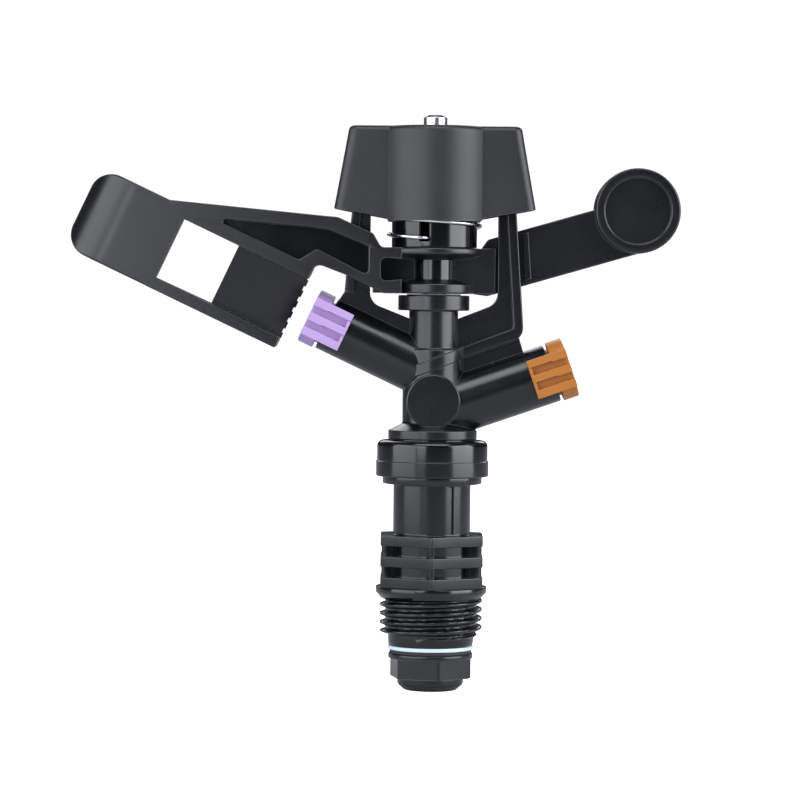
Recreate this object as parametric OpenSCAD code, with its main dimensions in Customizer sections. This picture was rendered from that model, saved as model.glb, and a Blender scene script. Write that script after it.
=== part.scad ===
// Plastic impact sprinkler with a male inlet thread, two clip-on nozzles and a sprung impact arm.
// The origin is on the inlet's axis, at the top of its thread. The nozzles point along -X and +X.

/* [Inlet bushing] */
// Outside diameter of the inlet thread
thread_d = 20.955; // [18:0.005:26.5]
// Distance from one thread crest to the next
thread_pitch = 1.814; // [1.4:0.001:2.3]
// Number of thread crests
thread_crests = 5; // [4:1:8]
// Width of the flat on each crest
crest_w = 0.3; // [0.2:0.05:0.5]
// Radial depth of the thread
thread_depth = 1.16; // [0.8:0.02:1.4]
// Length of the plain lead below the thread
lead_len = 1.55; // [1:0.1:4]
// Diameter of the plain lead
lead_d = 17.4; // [16:0.1:19]
// Thickness of the flange above the thread
flange_t = 1.2; // [1:0.1:3]
// Distance across the flats of the hexagon
hex_af = 20.8; // [20:0.1:27]
// Thickness of each of the hexagon's bars
hex_bar = 2.14; // [1.6:0.02:3]
// Height of each pocket between the bars
hex_pocket = 2.1; // [1.5:0.1:3]
// Number of bars in the hexagon
hex_bars = 3; // [2:1:5]
// Diameter of the neck above the hexagon
neck_d = 15.8; // [14.5:0.1:18]
// Length of the neck
neck_len = 10.3; // [6:0.5:20]
// Diameter of the spring cup on top of the neck
cup_d = 20.3; // [19.5:0.1:24]
// Height of the spring cup
cup_h = 2.3; // [2.2:0.1:4]

/* [Inlet tube] */
// Outside diameter of the rotating tube's stem
stem_d = 10.8; // [9:0.1:11.8]
// Wall of the stem around its waterway
tube_wall = 1.4; // [1.2:0.1:2]
// Diameter of the tube's rim and of the washers on it
rim_d = 17.4; // [15:0.1:18.5]
// Distance across the flats of the tube's own hexagon
foot_af = 15.2; // [13:0.1:16]
// Height of the tube's hexagon
foot_h = 4; // [3:0.1:8]
// Length of the round spigot below the hexagon
spigot_len = 2.55; // [1:0.05:5]
// Thickness of the white thrust washer
thrust_t = 0.75; // [0.5:0.05:1.5]
// Thickness of the rubber washer
rubber_t = 0.8; // [0.5:0.05:1.5]

/* [Head body] */
// Outside diameter of the dust cover
cover_d = 23; // [22.4:0.1:27]
// Height of the dust cover
cover_h = 7.4; // [6.4:0.1:12]
// Diameter of the collar above the dust cover
collar_d = 18.1; // [16:0.1:20]
// Diameter of the vertical body tube
body_d = 12.4; // [11.6:0.1:15]
// Height of the front boss's centre above the collar's underside
boss_rise = 7.8; // [7:0.1:12]
// Diameter of the front and back bosses
boss_d = 11; // [8:0.1:12]
// Diameter of the post that the arm turns on
post_d = 10; // [8:0.1:12]
// Half width of the opening between the uprights
bridge_in = 13; // [12.6:0.1:18]
// Height of the bridge, from the arm's seat to the crossbar's underside
bridge_h = 24.2; // [22:0.5:34]
// Thickness of the frame's rim, front to back
rim_t = 5; // [4:0.1:6]
// Thickness of the frame's web, front to back
web_t = 2.6; // [1.6:0.1:3.5]
// Height of the crossbar inside the cap
crossbar_h = 5; // [4:0.1:8]

/* [Barrels and nozzles] */
// Upward angle of the range barrel
range_angle = 25.25; // [20:0.25:28]
// Outside diameter of the range barrel
range_d = 11; // [10:0.1:12.4]
// Length of the range barrel beyond its upright
range_past = 3.98; // [3.5:0.02:6]
// Upward angle of the spreader barrel
spreader_angle = 19.25; // [15:0.25:24]
// Outside diameter of the spreader barrel
spreader_d = 12; // [10.6:0.1:12.4]
// Length of the spreader barrel beyond its upright
spreader_past = 6.32; // [4.5:0.02:10]
// Diameter of the range nozzle's orifice
range_orifice = 3.6; // [2:0.1:4.2]
// Diameter of the spreader nozzle's orifice
spreader_orifice = 2.4; // [1.5:0.1:4]
// Wall of each barrel around its nozzle
barrel_wall = 1.05; // [0.9:0.05:1.4]
// Thickness of a nozzle's outer disc
nozzle_disc_t = 3.3; // [2.5:0.1:5]

/* [Impact arm] */
// Height of the arm's hub
hub_h = 9.3; // [8:0.1:12]
// Diameter of the fulcrum pin
pin_d = 4.8; // [4:0.1:6]
// Gap from the range nozzle's face to the vane, along the jet
vane_gap = 3.35; // [3:0.05:9]
// Length of the vane up to the window, along the jet
vane_len = 15.8; // [12:0.1:22]
// Length of the window, along the jet
window_len = 12.4; // [9:0.1:18]
// Width of the window and of the vane, across the jet
window_w = 13; // [11:0.1:16]
// Length of the spoon beyond the window, along the jet
spoon_len = 20; // [15:0.1:26]
// Front face of the arm, in front of the centre line
arm_front = 7.5; // [7:0.1:9]
// Width of the counterweight bar
bar_w = 11.1; // [8:0.1:12]
// Thickness of the counterweight bar
bar_t = 2.7; // [2:0.1:4]
// Upward angle of the counterweight bar
bar_angle = 16.25; // [10:0.25:20]
// Distance from the centre line to the counterweight's centre
weight_x = 41.5; // [32:0.1:56]
// Diameter of the counterweight
weight_d = 17.4; // [14:0.1:22]
// Thickness of the counterweight, front to back
weight_t = 9; // [6:0.1:12]

/* [Springs and cap] */
// Wire diameter of the arm spring
arm_wire = 0.88; // [0.6:0.02:1.1]
// Diameter of the drum that the arm spring sits on
drum_d = 17.35; // [16.5:0.05:17.4]
// Wire diameter of the thrust spring
thrust_wire = 1.1; // [0.8:0.05:1.3]
// Gap between the uprights and the cap's ends
cap_gap = 0.3; // [0.2:0.05:2]
// How much further the cap reaches at its rim than at its top
cap_flare = 2.8; // [1:0.1:5]
// Half depth of the cap's flat sides
cap_side = 6.6; // [6:0.1:9]
// Gap between the arm spring and the cap's round middle
cap_spring_gap = 0.275; // [0.2:0.025:2]
// Wall of the cap
cap_wall = 1.5; // [1.2:0.1:2]

/* [Hidden] */
$fn = 64;
BLACK = "#26272a";
GLOSS = "#1c1d20";
STEEL = "#c8c9cc";
WHITE = "#e8eef2";
RUBBER = "#151515";
PURPLE = "#be96e1";
ORANGE = "#cd7d28";

// Radial clearance of a turning fit, and of a fit inside one moving part
running = 0.06;
seated = 0.03;
// Axial gap between faces that turn against each other, and between pieces that only pass
thrust_gap = 0.06;
pass_gap = 0.35;
eps = 0.01;

// Heights from the bottom to the top
crest_span = (thread_crests - 1) * thread_pitch + crest_w;
flank_h = (thread_pitch - crest_w) / 2;
z_lead_top = -crest_span - flank_h;
z_bushing = z_lead_top - lead_len;
z_thrust = z_bushing - thrust_gap - thrust_t;
z_rim = z_thrust - rubber_t;
rim_h = 1;
z_foot_top = z_rim - rim_h;
z_foot = z_foot_top - foot_h;
z_spigot = z_foot - spigot_len;
cone_h = 1;
flange_d = thread_d + 1.75;
z_hex = cone_h + flange_t;
hex_h = hex_bars * hex_bar + (hex_bars - 1) * hex_pocket;
z_neck = z_hex + hex_h;
z_cup = z_neck + neck_len;
cup_floor = 1.2;
cup_wall = 1.3;
cover_overlap = 0.8;
z_cover = z_cup + cup_h - cover_overlap;
z_cover_top = z_cover + cover_h;
cover_roof = 1.4;
seat_h = 0.2;
z_collar = z_cover_top + seat_h;
collar_h = 1.9;
z_body = z_collar + collar_h;
socket_wall = 1.4;
socket_d = stem_d + 2 * (socket_wall + seated);
socket_rise = 1.5;
z_socket = z_cup + cup_floor + socket_rise;
stem_engaged = 1;
z_stem = z_collar + stem_engaged;
z_boss = z_collar + boss_rise;
spreader_drop = 2.5;
z_spreader = z_boss - spreader_drop;
range_rise = 5.3;
z_range = z_boss + range_rise;
saddle_rise = 9.5;
z_saddle = z_range + saddle_rise;
post_h = 13.1;
seat_d = 14.5;
seat_t = 3.1;
z_seat_bottom = z_range + post_h;
z_seat = z_seat_bottom + seat_t;
arm_washer_t = 0.25;
z_arm = z_seat + arm_washer_t + thrust_gap;
z_hub = z_arm + hub_h;
z_crossbar = z_arm + bridge_h;
cap_head = 4.7;
z_cap_top = z_crossbar + crossbar_h + cap_head;
pin_shown = 2.4;
z_pin = z_cap_top + pin_shown;
pin_chamfer = 0.5;
pin_seat_depth = 9.8;
z_pin_foot = z_seat - pin_seat_depth;

// Waterways
water_d = stem_d - 2 * tube_wall;
water_step = 0.4;
body_water_d = water_d + water_step;
seat_step = 0.6;
range_water_d = range_d - 2 * (barrel_wall + seat_step);
spreader_water_d = spreader_d - 2 * (barrel_wall + seat_step);
seat_depth = 7;

// Frame
upright_top = bridge_in + 2.8;
upright_foot = bridge_in + 5.2;
rim_w = 2;
saddle_slope = 21.6;
brace_slope = 20.6;
brace_w = 2.5;
z_brace = z_range + 1;
z_knee = z_brace + brace_w + upright_foot * tan(brace_slope);

// Barrels
range_len = upright_foot / cos(range_angle) + range_past;
spreader_len = upright_foot / cos(spreader_angle) + spreader_past;
nozzle_gap = 0.6;

// Arm
vane_start = range_len + nozzle_gap + nozzle_disc_t + vane_gap;
hub_disc_t = 2.4;
hub_top_t = 1.6;
low_disc_d = 16;
top_disc_d = 20;
sleeve_d = pin_d + 3.3;
arm_back = rim_t / 2 + pass_gap + 0.1;
truss_web_t = 1.2;
hub_web_t = 1.8;
post_w = 2.2;
x_post = bridge_in - 2.1;
hub_side = x_post + 1.6;
window_start = vane_start + vane_len;
window_end = window_start + window_len;
spoon_end = window_end + spoon_len;
low_rail = 2.45;
top_rail = 2.7;
half_w = window_w / 2;
vane_deep = 5;
vane_shallow = 1;
vane_t = 1.1;
spoon_t = 1.6;
tooth = 1.2;

// Counterweight
weight_rise = 17.3;
z_weight = z_arm + weight_rise;
weight_y = arm_back + bar_t / 2;
slug_wall = 2;
slug_d = weight_d - 2 * slug_wall;
dish_depth = 0.7;

// Arm spring, drum and retainer
drum_h = 5.5;
drum_wall = 1.4;
z_drum_floor = z_hub + 1.2;
spring_gap = 0.17;
spring_r = drum_d / 2 + spring_gap + arm_wire / 2;
retainer_h = 2.6;
z_retainer = z_crossbar - retainer_h;
arm_spring_turns = 3.25;
z_arm_spring = z_hub + 1.9;

// Cap
cap_top = upright_top + cap_gap + cap_wall;
cap_rim = cap_top + cap_flare;
cap_round = spring_r + arm_wire / 2 + cap_spring_gap + cap_wall;
cap_rim_rise = 2.1;
z_cap_mid = z_hub + 5.4;
z_cap_rim = z_cap_mid + 2.5;
cap_cheek = sqrt(cap_round * cap_round - cap_side * cap_side) - 0.7;

// Extrudes a profile drawn in X and Z from the depth y0 to the depth y1.
module slab(y0, y1)
    translate([0, y1, 0])
        rotate([90, 0, 0])
            linear_extrude(y1 - y0)
                children();

// A round bar along +X.
module bar_x(d, x0, x1)
    translate([x0, 0, 0])
        rotate([0, 90, 0])
            cylinder(d = d, h = x1 - x0);

// A hollow ring standing on z.
module ring(outer, inner, z, h)
    translate([0, 0, z])
        difference() {
            cylinder(d = outer, h = h);
            translate([0, 0, -1])
                cylinder(d = inner, h = h + 2);
        }

// Frames of the two barrels: +X runs out along the barrel, Y is unchanged.
module on_range()
    mirror([1, 0, 0])
        translate([0, 0, z_range])
            rotate([0, -range_angle, 0])
                children();

module on_spreader()
    translate([0, 0, z_spreader])
        rotate([0, -spreader_angle, 0])
            children();

// The point s along the jet and t across it, in X and Z.
function jet(s, t) = [
    -s * cos(range_angle) + t * sin(range_angle),
    z_range + s * sin(range_angle) + t * cos(range_angle)
];

function unit(v) = v / norm(v);

// The arc that rounds corner b, between a and c, to the radius r.
function round_corner(a, b, c, r, n) =
    let (
        u = unit(a - b),
        v = unit(c - b),
        half = acos(max(-1, min(1, u * v))) / 2,
        centre = b + unit(u + v) * r / sin(half),
        from = b + u * r / tan(half) - centre,
        start = atan2(from[1], from[0]),
        turn = cross(b - a, c - b) > 0 ? 1 : -1,
        sweep = 180 - 2 * half
    )
    [for (i = [0 : n]) centre + r * [cos(start + turn * sweep * i / n), sin(start + turn * sweep * i / n)]];

// An outline whose corners are rounded by the radii in the list r; 0 leaves a corner sharp.
function rounded(p, r, n = 5) =
    let (m = len(p))
    [for (i = [0 : m - 1])
        each (r[i] > 0 ? round_corner(p[(i + m - 1) % m], p[i], p[(i + 1) % m], r[i], n) : [p[i]])];

// A wire of diameter wire wound right-handed at the radius r, from z0 to z1.
module coil(r, wire, z0, z1, turns, start, steps = 22, sides = 8) {
    rings = ceil(turns * steps);
    points = [for (k = [0 : rings])
        for (j = [0 : sides - 1])
            let (
                angle = start + 360 * turns * k / rings,
                around = 360 * j / sides,
                reach = r + wire / 2 * cos(around)
            )
            [reach * cos(angle), reach * sin(angle), z0 + (z1 - z0) * k / rings + wire / 2 * sin(around)]];
    walls = [for (k = [0 : rings - 1])
        for (j = [0 : sides - 1])
            let (a = k * sides + j, b = k * sides + (j + 1) % sides)
            each [[a, b, b + sides], [a, b + sides, a + sides]]];
    first = [for (j = [sides - 1 : -1 : 0]) j];
    last = [for (j = [0 : sides - 1]) rings * sides + j];
    polyhedron(points, concat(walls, [first], [last]));
}

// ---- Inlet bushing: the fixed piece, screwed into the riser ----

module thread_rings() {
    root = thread_d / 2 - thread_depth;
    crests = [for (i = [thread_crests - 1 : -1 : 0])
        let (top = -i * thread_pitch)
        each [
            [root, top - crest_w - flank_h],
            [thread_d / 2, top - crest_w],
            [thread_d / 2, top]
        ]];
    rotate_extrude()
        polygon(concat(
            [[0, z_bushing], [lead_d / 2 - 0.5, z_bushing], [lead_d / 2, z_bushing + 0.5],
                [lead_d / 2, z_lead_top]],
            crests,
            [[flange_d / 2, cone_h], [flange_d / 2, z_hex], [0, z_hex]]
        ));
}

module bushing_hex() {
    pocket_depth = 1.8;
    pocket_d = hex_af - 2 * pocket_depth;
    rib_w = 0.9;
    root_h = 0.2;
    for (i = [0 : hex_bars - 1])
        translate([0, 0, z_hex + i * (hex_bar + hex_pocket)])
            rotate([0, 0, 30])
                cylinder(d = hex_af / cos(30), h = hex_bar, $fn = 6);
    translate([0, 0, z_hex - flange_t / 2])
        cylinder(d = pocket_d, h = hex_h + flange_t / 2 + eps);
    // A thin rib in each corner joins the bars.
    for (i = [0 : 5])
        rotate([0, 0, 60 * i])
            translate([-rib_w / 2, 0, z_hex - root_h])
                cube([rib_w, hex_af / 2 / cos(30) - 0.35, hex_h + root_h]);
}

module inlet_bushing() {
    groove_w = 0.95;
    color(BLACK)
        difference() {
            union() {
                thread_rings();
                bushing_hex();
                translate([0, 0, z_neck - eps])
                    cylinder(d = neck_d, h = neck_len + cup_h);
                ring(cup_d, cup_d - 2 * cup_wall, z_cup, cup_h);
                translate([0, 0, z_cup])
                    cylinder(d = cup_d, h = cup_floor);
            }
            translate([0, 0, z_bushing - 1])
                cylinder(d = stem_d + 2 * running, h = 60 + neck_len);
            // Spring seat
            ring(cup_d - 2 * cup_wall, stem_d, z_cup + cup_floor, cup_h + 1);
            // Witness groove down the neck
            rotate([0, 0, 30])
                translate([-groove_w / 2, -neck_d / 2 - 1, z_neck])
                    cube([groove_w, 1.4, neck_len - 1]);
        }
}

module thrust_washer()
    color(WHITE)
        ring(rim_d + 0.1, stem_d + 2 * running, z_thrust, thrust_t);

module rubber_washer()
    color(RUBBER)
        ring(rim_d - 0.6, stem_d + 2 * seated, z_rim, rubber_t);

// ---- Inlet tube: turns in the bushing and screws into the body ----

module inlet_tube() {
    groove = 0.95;
    foot_turn = -18.8;
    spigot_d = foot_af - 1.7;
    color(BLACK)
        difference() {
            union() {
                translate([0, 0, z_foot_top])
                    cylinder(d = rim_d - 0.1, h = rim_h);
                rotate([0, 0, foot_turn])
                    intersection() {
                        translate([0, 0, z_foot])
                            cylinder(d = foot_af / cos(30), h = foot_h + eps, $fn = 6);
                        translate([0, 0, z_foot])
                            cylinder(d = rim_d - 0.2, h = foot_h + eps);
                    }
                translate([0, 0, z_spigot + 1.2])
                    cylinder(d = spigot_d, h = spigot_len - 1.2 + eps);
                translate([0, 0, z_spigot])
                    cylinder(d1 = spigot_d - 2.8, d2 = spigot_d, h = 1.2);
                translate([0, 0, z_rim - eps])
                    cylinder(d = stem_d, h = z_stem - z_rim + eps);
            }
            translate([0, 0, z_spigot - 1])
                cylinder(d = water_d, h = z_stem - z_spigot + 2);
            // Groove for the O-ring near the top of the stem
            ring(stem_d + 2, stem_d - 2 * groove, z_stem - 3.2, 1.2);
        }
}

module stem_o_ring() {
    section = 0.92;
    color(RUBBER)
        translate([0, 0, z_stem - 2.6])
            rotate_extrude()
                translate([stem_d / 2 - section / 2 + seated / 2, 0])
                    circle(d = section, $fn = 32);
}

module thrust_spring() {
    inner_gap = 0.25;
    z0 = z_cup + cup_floor + thrust_wire / 2 + eps;
    z1 = z_cover_top - cover_roof - 0.7 - thrust_wire / 2 - eps;
    color(STEEL)
        coil(socket_d / 2 + inner_gap + thrust_wire / 2, thrust_wire, z0, z1, 3.5, 40);
}

module spring_washer()
    color(STEEL)
        ring(cup_d - 2 * cup_wall - 0.2, socket_d + 2 * seated, z_cover_top - cover_roof - 0.7, 0.7);

module dust_cover() {
    step_z = z_cover + 0.42 * cover_h;
    bore = cup_d + 2 * pass_gap;
    color(GLOSS)
        difference() {
            union() {
                translate([0, 0, z_cover])
                    cylinder(d1 = cover_d - 0.6, d2 = cover_d, h = 0.3);
                translate([0, 0, z_cover + 0.3 - eps])
                    cylinder(d = cover_d, h = step_z - z_cover - 0.3 + eps);
                // The upper half is a shade narrower, with a rounded shoulder.
                rotate_extrude()
                    polygon(rounded(
                        [[0, step_z], [cover_d / 2 - 0.2, step_z], [cover_d / 2 - 0.2, z_cover_top],
                            [0, z_cover_top]],
                        [0, 0, 1.2, 0]));
                translate([0, 0, z_cover_top - eps])
                    cylinder(d = socket_d + 2.4, h = seat_h + eps);
            }
            translate([0, 0, z_cover - 1])
                cylinder(d = bore, h = cover_h - cover_roof + 1);
            translate([0, 0, z_cover])
                cylinder(d = socket_d + 2 * seated, h = cover_h + 2);
        }
}

// ---- Sprinkler body: one moulding with the socket, both barrels, the post and the bridge ----

// Outline of the frame's web on the range side, whose foot runs out along the barrel's top.
function range_web() =
    let (
        foot = upright_foot + 1.7,
        axis = z_range + foot * tan(range_angle),
        over = axis + range_d / 2 / cos(range_angle)
    )
    [
        [0, z_range],
        [-foot, axis],
        [-foot, over - 1.2],
        [-upright_foot, over + 1.3],
        [-upright_top, z_crossbar + crossbar_h],
        [0, z_crossbar + crossbar_h]
    ];

// Outline of the web on the spreader side, set in from the rim and wider again at the barrel.
function spreader_web() =
    let (axis = z_spreader + upright_foot * tan(spreader_angle))
    [
        [0, z_spreader],
        [upright_foot + 0.2, axis],
        [upright_foot + 0.2, axis + spreader_d / 2],
        [upright_foot - 0.8, z_knee - brace_w],
        [upright_foot - 0.8, z_knee],
        [upright_top - 0.8, z_crossbar + crossbar_h],
        [0, z_crossbar + crossbar_h]
    ];

function bridge_opening() =
    rounded(
        [
            [-bridge_in, z_crossbar],
            [-bridge_in, z_saddle + bridge_in * tan(saddle_slope)],
            [0, z_saddle],
            [bridge_in, z_saddle + bridge_in * tan(saddle_slope)],
            [bridge_in, z_crossbar]
        ],
        [0.8, 3, 0, 3, 0.8]);

// The raised rim along the outside of an upright, and the brace that carries it to the middle.
function rim_outline() =
    let (
        rise = tan(brace_slope),
        in = upright_foot - rim_w
    )
    rounded(
        [
            [upright_top, z_crossbar + crossbar_h],
            [upright_foot, z_knee],
            [upright_foot, z_brace + upright_foot * rise],
            [0, z_brace],
            [0, z_brace + brace_w],
            [in, z_brace + brace_w + in * rise],
            [upright_top - rim_w, z_crossbar + crossbar_h]
        ],
        [0, 0, 2.6, 0, 0, 1, 0]);

module bridge() {
    left_foot = z_range + upright_foot * tan(range_angle);
    difference() {
        union() {
            slab(-web_t / 2, web_t / 2) {
                polygon(range_web());
                polygon(spreader_web());
            }
            slab(-rim_t / 2, rim_t / 2)
                polygon(rim_outline());
            slab(-rim_t / 2, rim_t / 2)
                polygon([
                    [-upright_top, z_crossbar + crossbar_h],
                    [-upright_foot, left_foot],
                    [-upright_foot + rim_w, left_foot],
                    [-upright_top + rim_w, z_crossbar + crossbar_h]
                ]);
        }
        slab(-rim_t, rim_t)
            polygon(bridge_opening());
    }
    slab(-rim_t / 2, rim_t / 2)
        translate([-upright_top + 0.4, z_crossbar])
            square([2 * upright_top - 0.8, crossbar_h]);
    translate([0, 0, z_crossbar])
        cylinder(d = pin_d + 4.6, h = crossbar_h);
}

module sprinkler_body() {
    nozzle_seat = 2 * barrel_wall;
    post_foot = 5.3;
    color(BLACK)
        difference() {
            union() {
                translate([0, 0, z_socket])
                    cylinder(d = socket_d, h = z_collar - z_socket + eps);
                translate([0, 0, z_collar])
                    cylinder(d = collar_d, h = collar_h);
                translate([0, 0, z_body - eps])
                    cylinder(d1 = collar_d - 0.6, d2 = body_d, h = 1.3);
                translate([0, 0, z_body])
                    cylinder(d = body_d, h = z_range - z_body + post_foot);
                translate([0, 0, z_range])
                    cylinder(d = post_d, h = z_seat_bottom - z_range + eps);
                translate([0, 0, z_seat_bottom])
                    cylinder(d = seat_d, h = z_seat - z_seat_bottom);
                translate([0, 0, z_boss])
                    rotate([90, 0, 0])
                        cylinder(d = boss_d, h = body_d + 1.8, center = true);
                on_range()
                    bar_x(range_d, 0, range_len);
                on_spreader()
                    bar_x(spreader_d, 0, spreader_len);
                bridge();
            }
            // Socket for the tube, then the waterway
            translate([0, 0, z_socket - 1])
                cylinder(d = stem_d + 2 * seated, h = z_stem - z_socket + 1);
            translate([0, 0, z_stem - eps])
                cylinder(d = body_water_d, h = z_range - z_stem);
            on_range() {
                bar_x(range_water_d, 0, range_len + 1);
                bar_x(range_d - nozzle_seat, range_len - seat_depth, range_len + 1);
            }
            on_spreader() {
                bar_x(spreader_water_d, 0, spreader_len + 1);
                bar_x(spreader_d - nozzle_seat, spreader_len - seat_depth, spreader_len + 1);
            }
            // Fulcrum pin: a blind seat in the post and a bore in the crossbar
            translate([0, 0, z_pin_foot])
                cylinder(d = pin_d + 2 * seated, h = z_pin - z_pin_foot);
        }
}

// ---- Nozzles ----

// A clip-on nozzle whose axis is +X and whose barrel ends at x = 0.
module nozzle(barrel_d, orifice) {
    gap = nozzle_gap;
    face = gap + nozzle_disc_t;
    lug_w = 8;
    lug_back = 4.4;
    lug_in = 2.5;
    lug_t = 1.25;
    lug_out = barrel_d / 2 + lug_t;
    rib_w = 1.7;
    slot_w = (lug_w - 3 * rib_w) / 2;
    spigot_d = barrel_d - 2 * barrel_wall - 2 * seated;
    spigot = seat_depth - 0.5;
    groove_w = 1.5;
    groove_d = 1.3;
    difference() {
        union() {
            bar_x(barrel_d + 0.1, gap, face);
            bar_x(spigot_d, -spigot, gap + eps);
            difference() {
                for (side = [-1, 1])
                    translate([-lug_back, side > 0 ? lug_in : -lug_out, -lug_w / 2])
                        cube([lug_back + face, lug_out - lug_in, lug_w]);
                // Room for the barrel's wall
                difference() {
                    bar_x(barrel_d + 2 * seated, -lug_back - 1, gap);
                    bar_x(spigot_d, -lug_back - 1, gap);
                }
            }
        }
        // Grip grooves along both lugs
        for (side = [-1, 1])
            for (i = [-1, 1])
                translate([-lug_back - 1, side * lug_out - 0.7, i * (rib_w + slot_w) / 2 - slot_w / 2])
                    cube([lug_back + face + 2, 1.4, slot_w]);
        // Taper from the spigot's mouth to the orifice
        translate([-spigot - 1, 0, 0])
            rotate([0, 90, 0])
                cylinder(d1 = spigot_d - 2.6, d2 = orifice, h = spigot + 1);
        bar_x(orifice, -1, face + 1);
        // Dished face
        translate([face - 1, 0, 0])
            rotate([0, 90, 0])
                cylinder(d1 = orifice, d2 = orifice + 3, h = 1 + eps);
        // O-ring groove
        difference() {
            bar_x(spigot_d + 2, -4.4, -4.4 + groove_w);
            bar_x(spigot_d - 2 * groove_d + 0.6, -5, 0);
        }
    }
}

// The O-ring in a nozzle's groove.
module nozzle_o_ring(barrel_d) {
    section = 0.98;
    seat = barrel_d - 2 * barrel_wall;
    translate([-3.65, 0, 0])
        rotate([0, 90, 0])
            rotate_extrude()
                translate([seat / 2 - section / 2 - seated, 0])
                    circle(d = section, $fn = 32);
}

module range_nozzle()
    color(PURPLE)
        on_range()
            translate([range_len, 0, 0])
                nozzle(range_d, range_orifice);

module spreader_nozzle()
    color(ORANGE)
        on_spreader()
            translate([spreader_len, 0, 0])
                nozzle(spreader_d, spreader_orifice);

module range_o_ring()
    color(RUBBER)
        on_range()
            translate([range_len, 0, 0])
                nozzle_o_ring(range_d);

module spreader_o_ring()
    color(RUBBER)
        on_spreader()
            translate([spreader_len, 0, 0])
                nozzle_o_ring(spreader_d);

// Cross vanes that calm the water before the range nozzle.
module stream_straightener() {
    vane = 0.7;
    length = 8;
    color(WHITE)
        on_range()
            translate([range_len - seat_depth - length, 0, 0])
                intersection() {
                    bar_x(range_water_d - 2 * seated, 0, length);
                    union() {
                        translate([0, -range_d, -vane / 2])
                            cube([length, 2 * range_d, vane]);
                        translate([0, -vane / 2, -range_d])
                            cube([length, vane, 2 * range_d]);
                    }
                }
}

// ---- Pin, cap and spring retainer ----

module fulcrum_pin() {
    color(STEEL)
        rotate_extrude()
            polygon([
                [0, z_pin_foot + 0.2],
                [pin_d / 2 - pin_chamfer, z_pin_foot + 0.2],
                [pin_d / 2, z_pin_foot + 0.2 + pin_chamfer],
                [pin_d / 2, z_pin - pin_chamfer],
                [pin_d / 2 - pin_chamfer, z_pin],
                [0, z_pin]
            ]);
}

module arm_washer()
    color(WHITE)
        ring(seat_d - 3.5, pin_d + 2 * running, z_seat, arm_washer_t);

// The cap's outline in X and Z, shrunk by inset; its rim rises from the middle to the ends.
module cap_profile(inset, drop)
    polygon([
        [-cap_top + inset, z_cap_top - inset],
        [-cap_rim + inset, z_cap_rim - drop],
        [-cap_cheek, z_cap_rim - cap_rim_rise - drop],
        [cap_cheek, z_cap_rim - cap_rim_rise - drop],
        [cap_rim - inset, z_cap_rim - drop],
        [cap_top - inset, z_cap_top - inset]
    ]);

module weather_cap() {
    height = z_cap_top - z_cap_mid;
    color(BLACK)
        difference() {
            union() {
                slab(-cap_side, cap_side)
                    cap_profile(0, 0);
                translate([0, 0, z_cap_mid])
                    cylinder(r = cap_round, h = height);
            }
            slab(-cap_side + cap_wall, cap_side - cap_wall)
                cap_profile(cap_wall, 2);
            translate([0, 0, z_cap_mid - 1])
                cylinder(r = cap_round - cap_wall, h = height + 1 - cap_wall);
            translate([0, 0, z_cap_mid])
                cylinder(d = pin_d + 2 * seated, h = height + 1);
        }
}

module spring_retainer() {
    slot = arm_wire + 0.3;
    color(GLOSS)
        difference() {
            union() {
                translate([0, 0, z_retainer + 1])
                    cylinder(r = spring_r - arm_wire, h = retainer_h - 1);
                translate([0, 0, z_retainer])
                    cylinder(r = spring_r - arm_wire - 1.2, h = 1 + eps);
            }
            translate([0, 0, z_retainer - 1])
                cylinder(d = pin_d + 2 * seated, h = retainer_h + 2);
            // Notches for a tool and for the spring's end
            for (i = [0 : 5])
                rotate([0, 0, 60 * i])
                    translate([spring_r - arm_wire - 1.3, -slot / 2, z_retainer - 1])
                        cube([3, slot, retainer_h + 2]);
        }
}

// ---- Impact arm and what rides on it ----

// Left-hand torsion spring: it starts at the drum's notch, at the front.
module arm_spring() {
    color(STEEL)
        mirror([0, 1, 0])
            coil(spring_r, arm_wire, z_arm_spring, z_retainer + 1.2, arm_spring_turns, 100, 24);
}

// Sleeve through the hub with the spring's drum on top.
module arm_bearing() {
    notch_w = 2.4;
    sleeve_top = z_hub + drum_h + 3.5;
    color(GLOSS)
        difference() {
            union() {
                translate([0, 0, z_arm])
                    cylinder(d = sleeve_d, h = sleeve_top - z_arm);
                difference() {
                    translate([0, 0, z_hub + seated])
                        cylinder(d = drum_d, h = drum_h - seated);
                    translate([0, 0, z_drum_floor])
                        cylinder(d = drum_d - 2 * drum_wall, h = drum_h);
                    // Notch that holds the spring's lower end
                    translate([-2 - notch_w / 2, -drum_d / 2 - 1, z_drum_floor])
                        cube([notch_w, 3, drum_h]);
                }
                for (i = [0 : 3])
                    rotate([0, 0, 45 + 90 * i])
                        translate([0, -0.5, z_hub + seated])
                            cube([drum_d / 2 - 0.4, 1, drum_h - 1.2]);
            }
            translate([0, 0, z_arm - 1])
                cylinder(d = pin_d + 2 * running, h = sleeve_top - z_arm + 2);
        }
}

// The front frame of the arm, from the hub to the vane, in X and Z.
function truss_outline() =
    rounded(
        [
            jet(window_end, half_w),
            jet(window_end + 3.8, half_w + 2.25),
            [-bridge_in - 9, z_hub + 6.2],
            [-bridge_in - 6.6, z_hub + 6],
            [-bridge_in + 0.6, z_hub + 2.8],
            [-bridge_in + 2.2, z_hub],
            [-low_disc_d / 2 + 1.4, z_hub],
            [-low_disc_d / 2 + 1.4, z_arm],
            [-bridge_in + 2.6, z_arm],
            [-bridge_in - 4, z_arm + 3.3],
            [-bridge_in - 10.9, z_arm + 5.9],
            jet(vane_start, half_w)
        ],
        [0, 0, 2, 2, 1.6, 0, 0, 0, 2, 2, 1.6, 0]);

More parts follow.
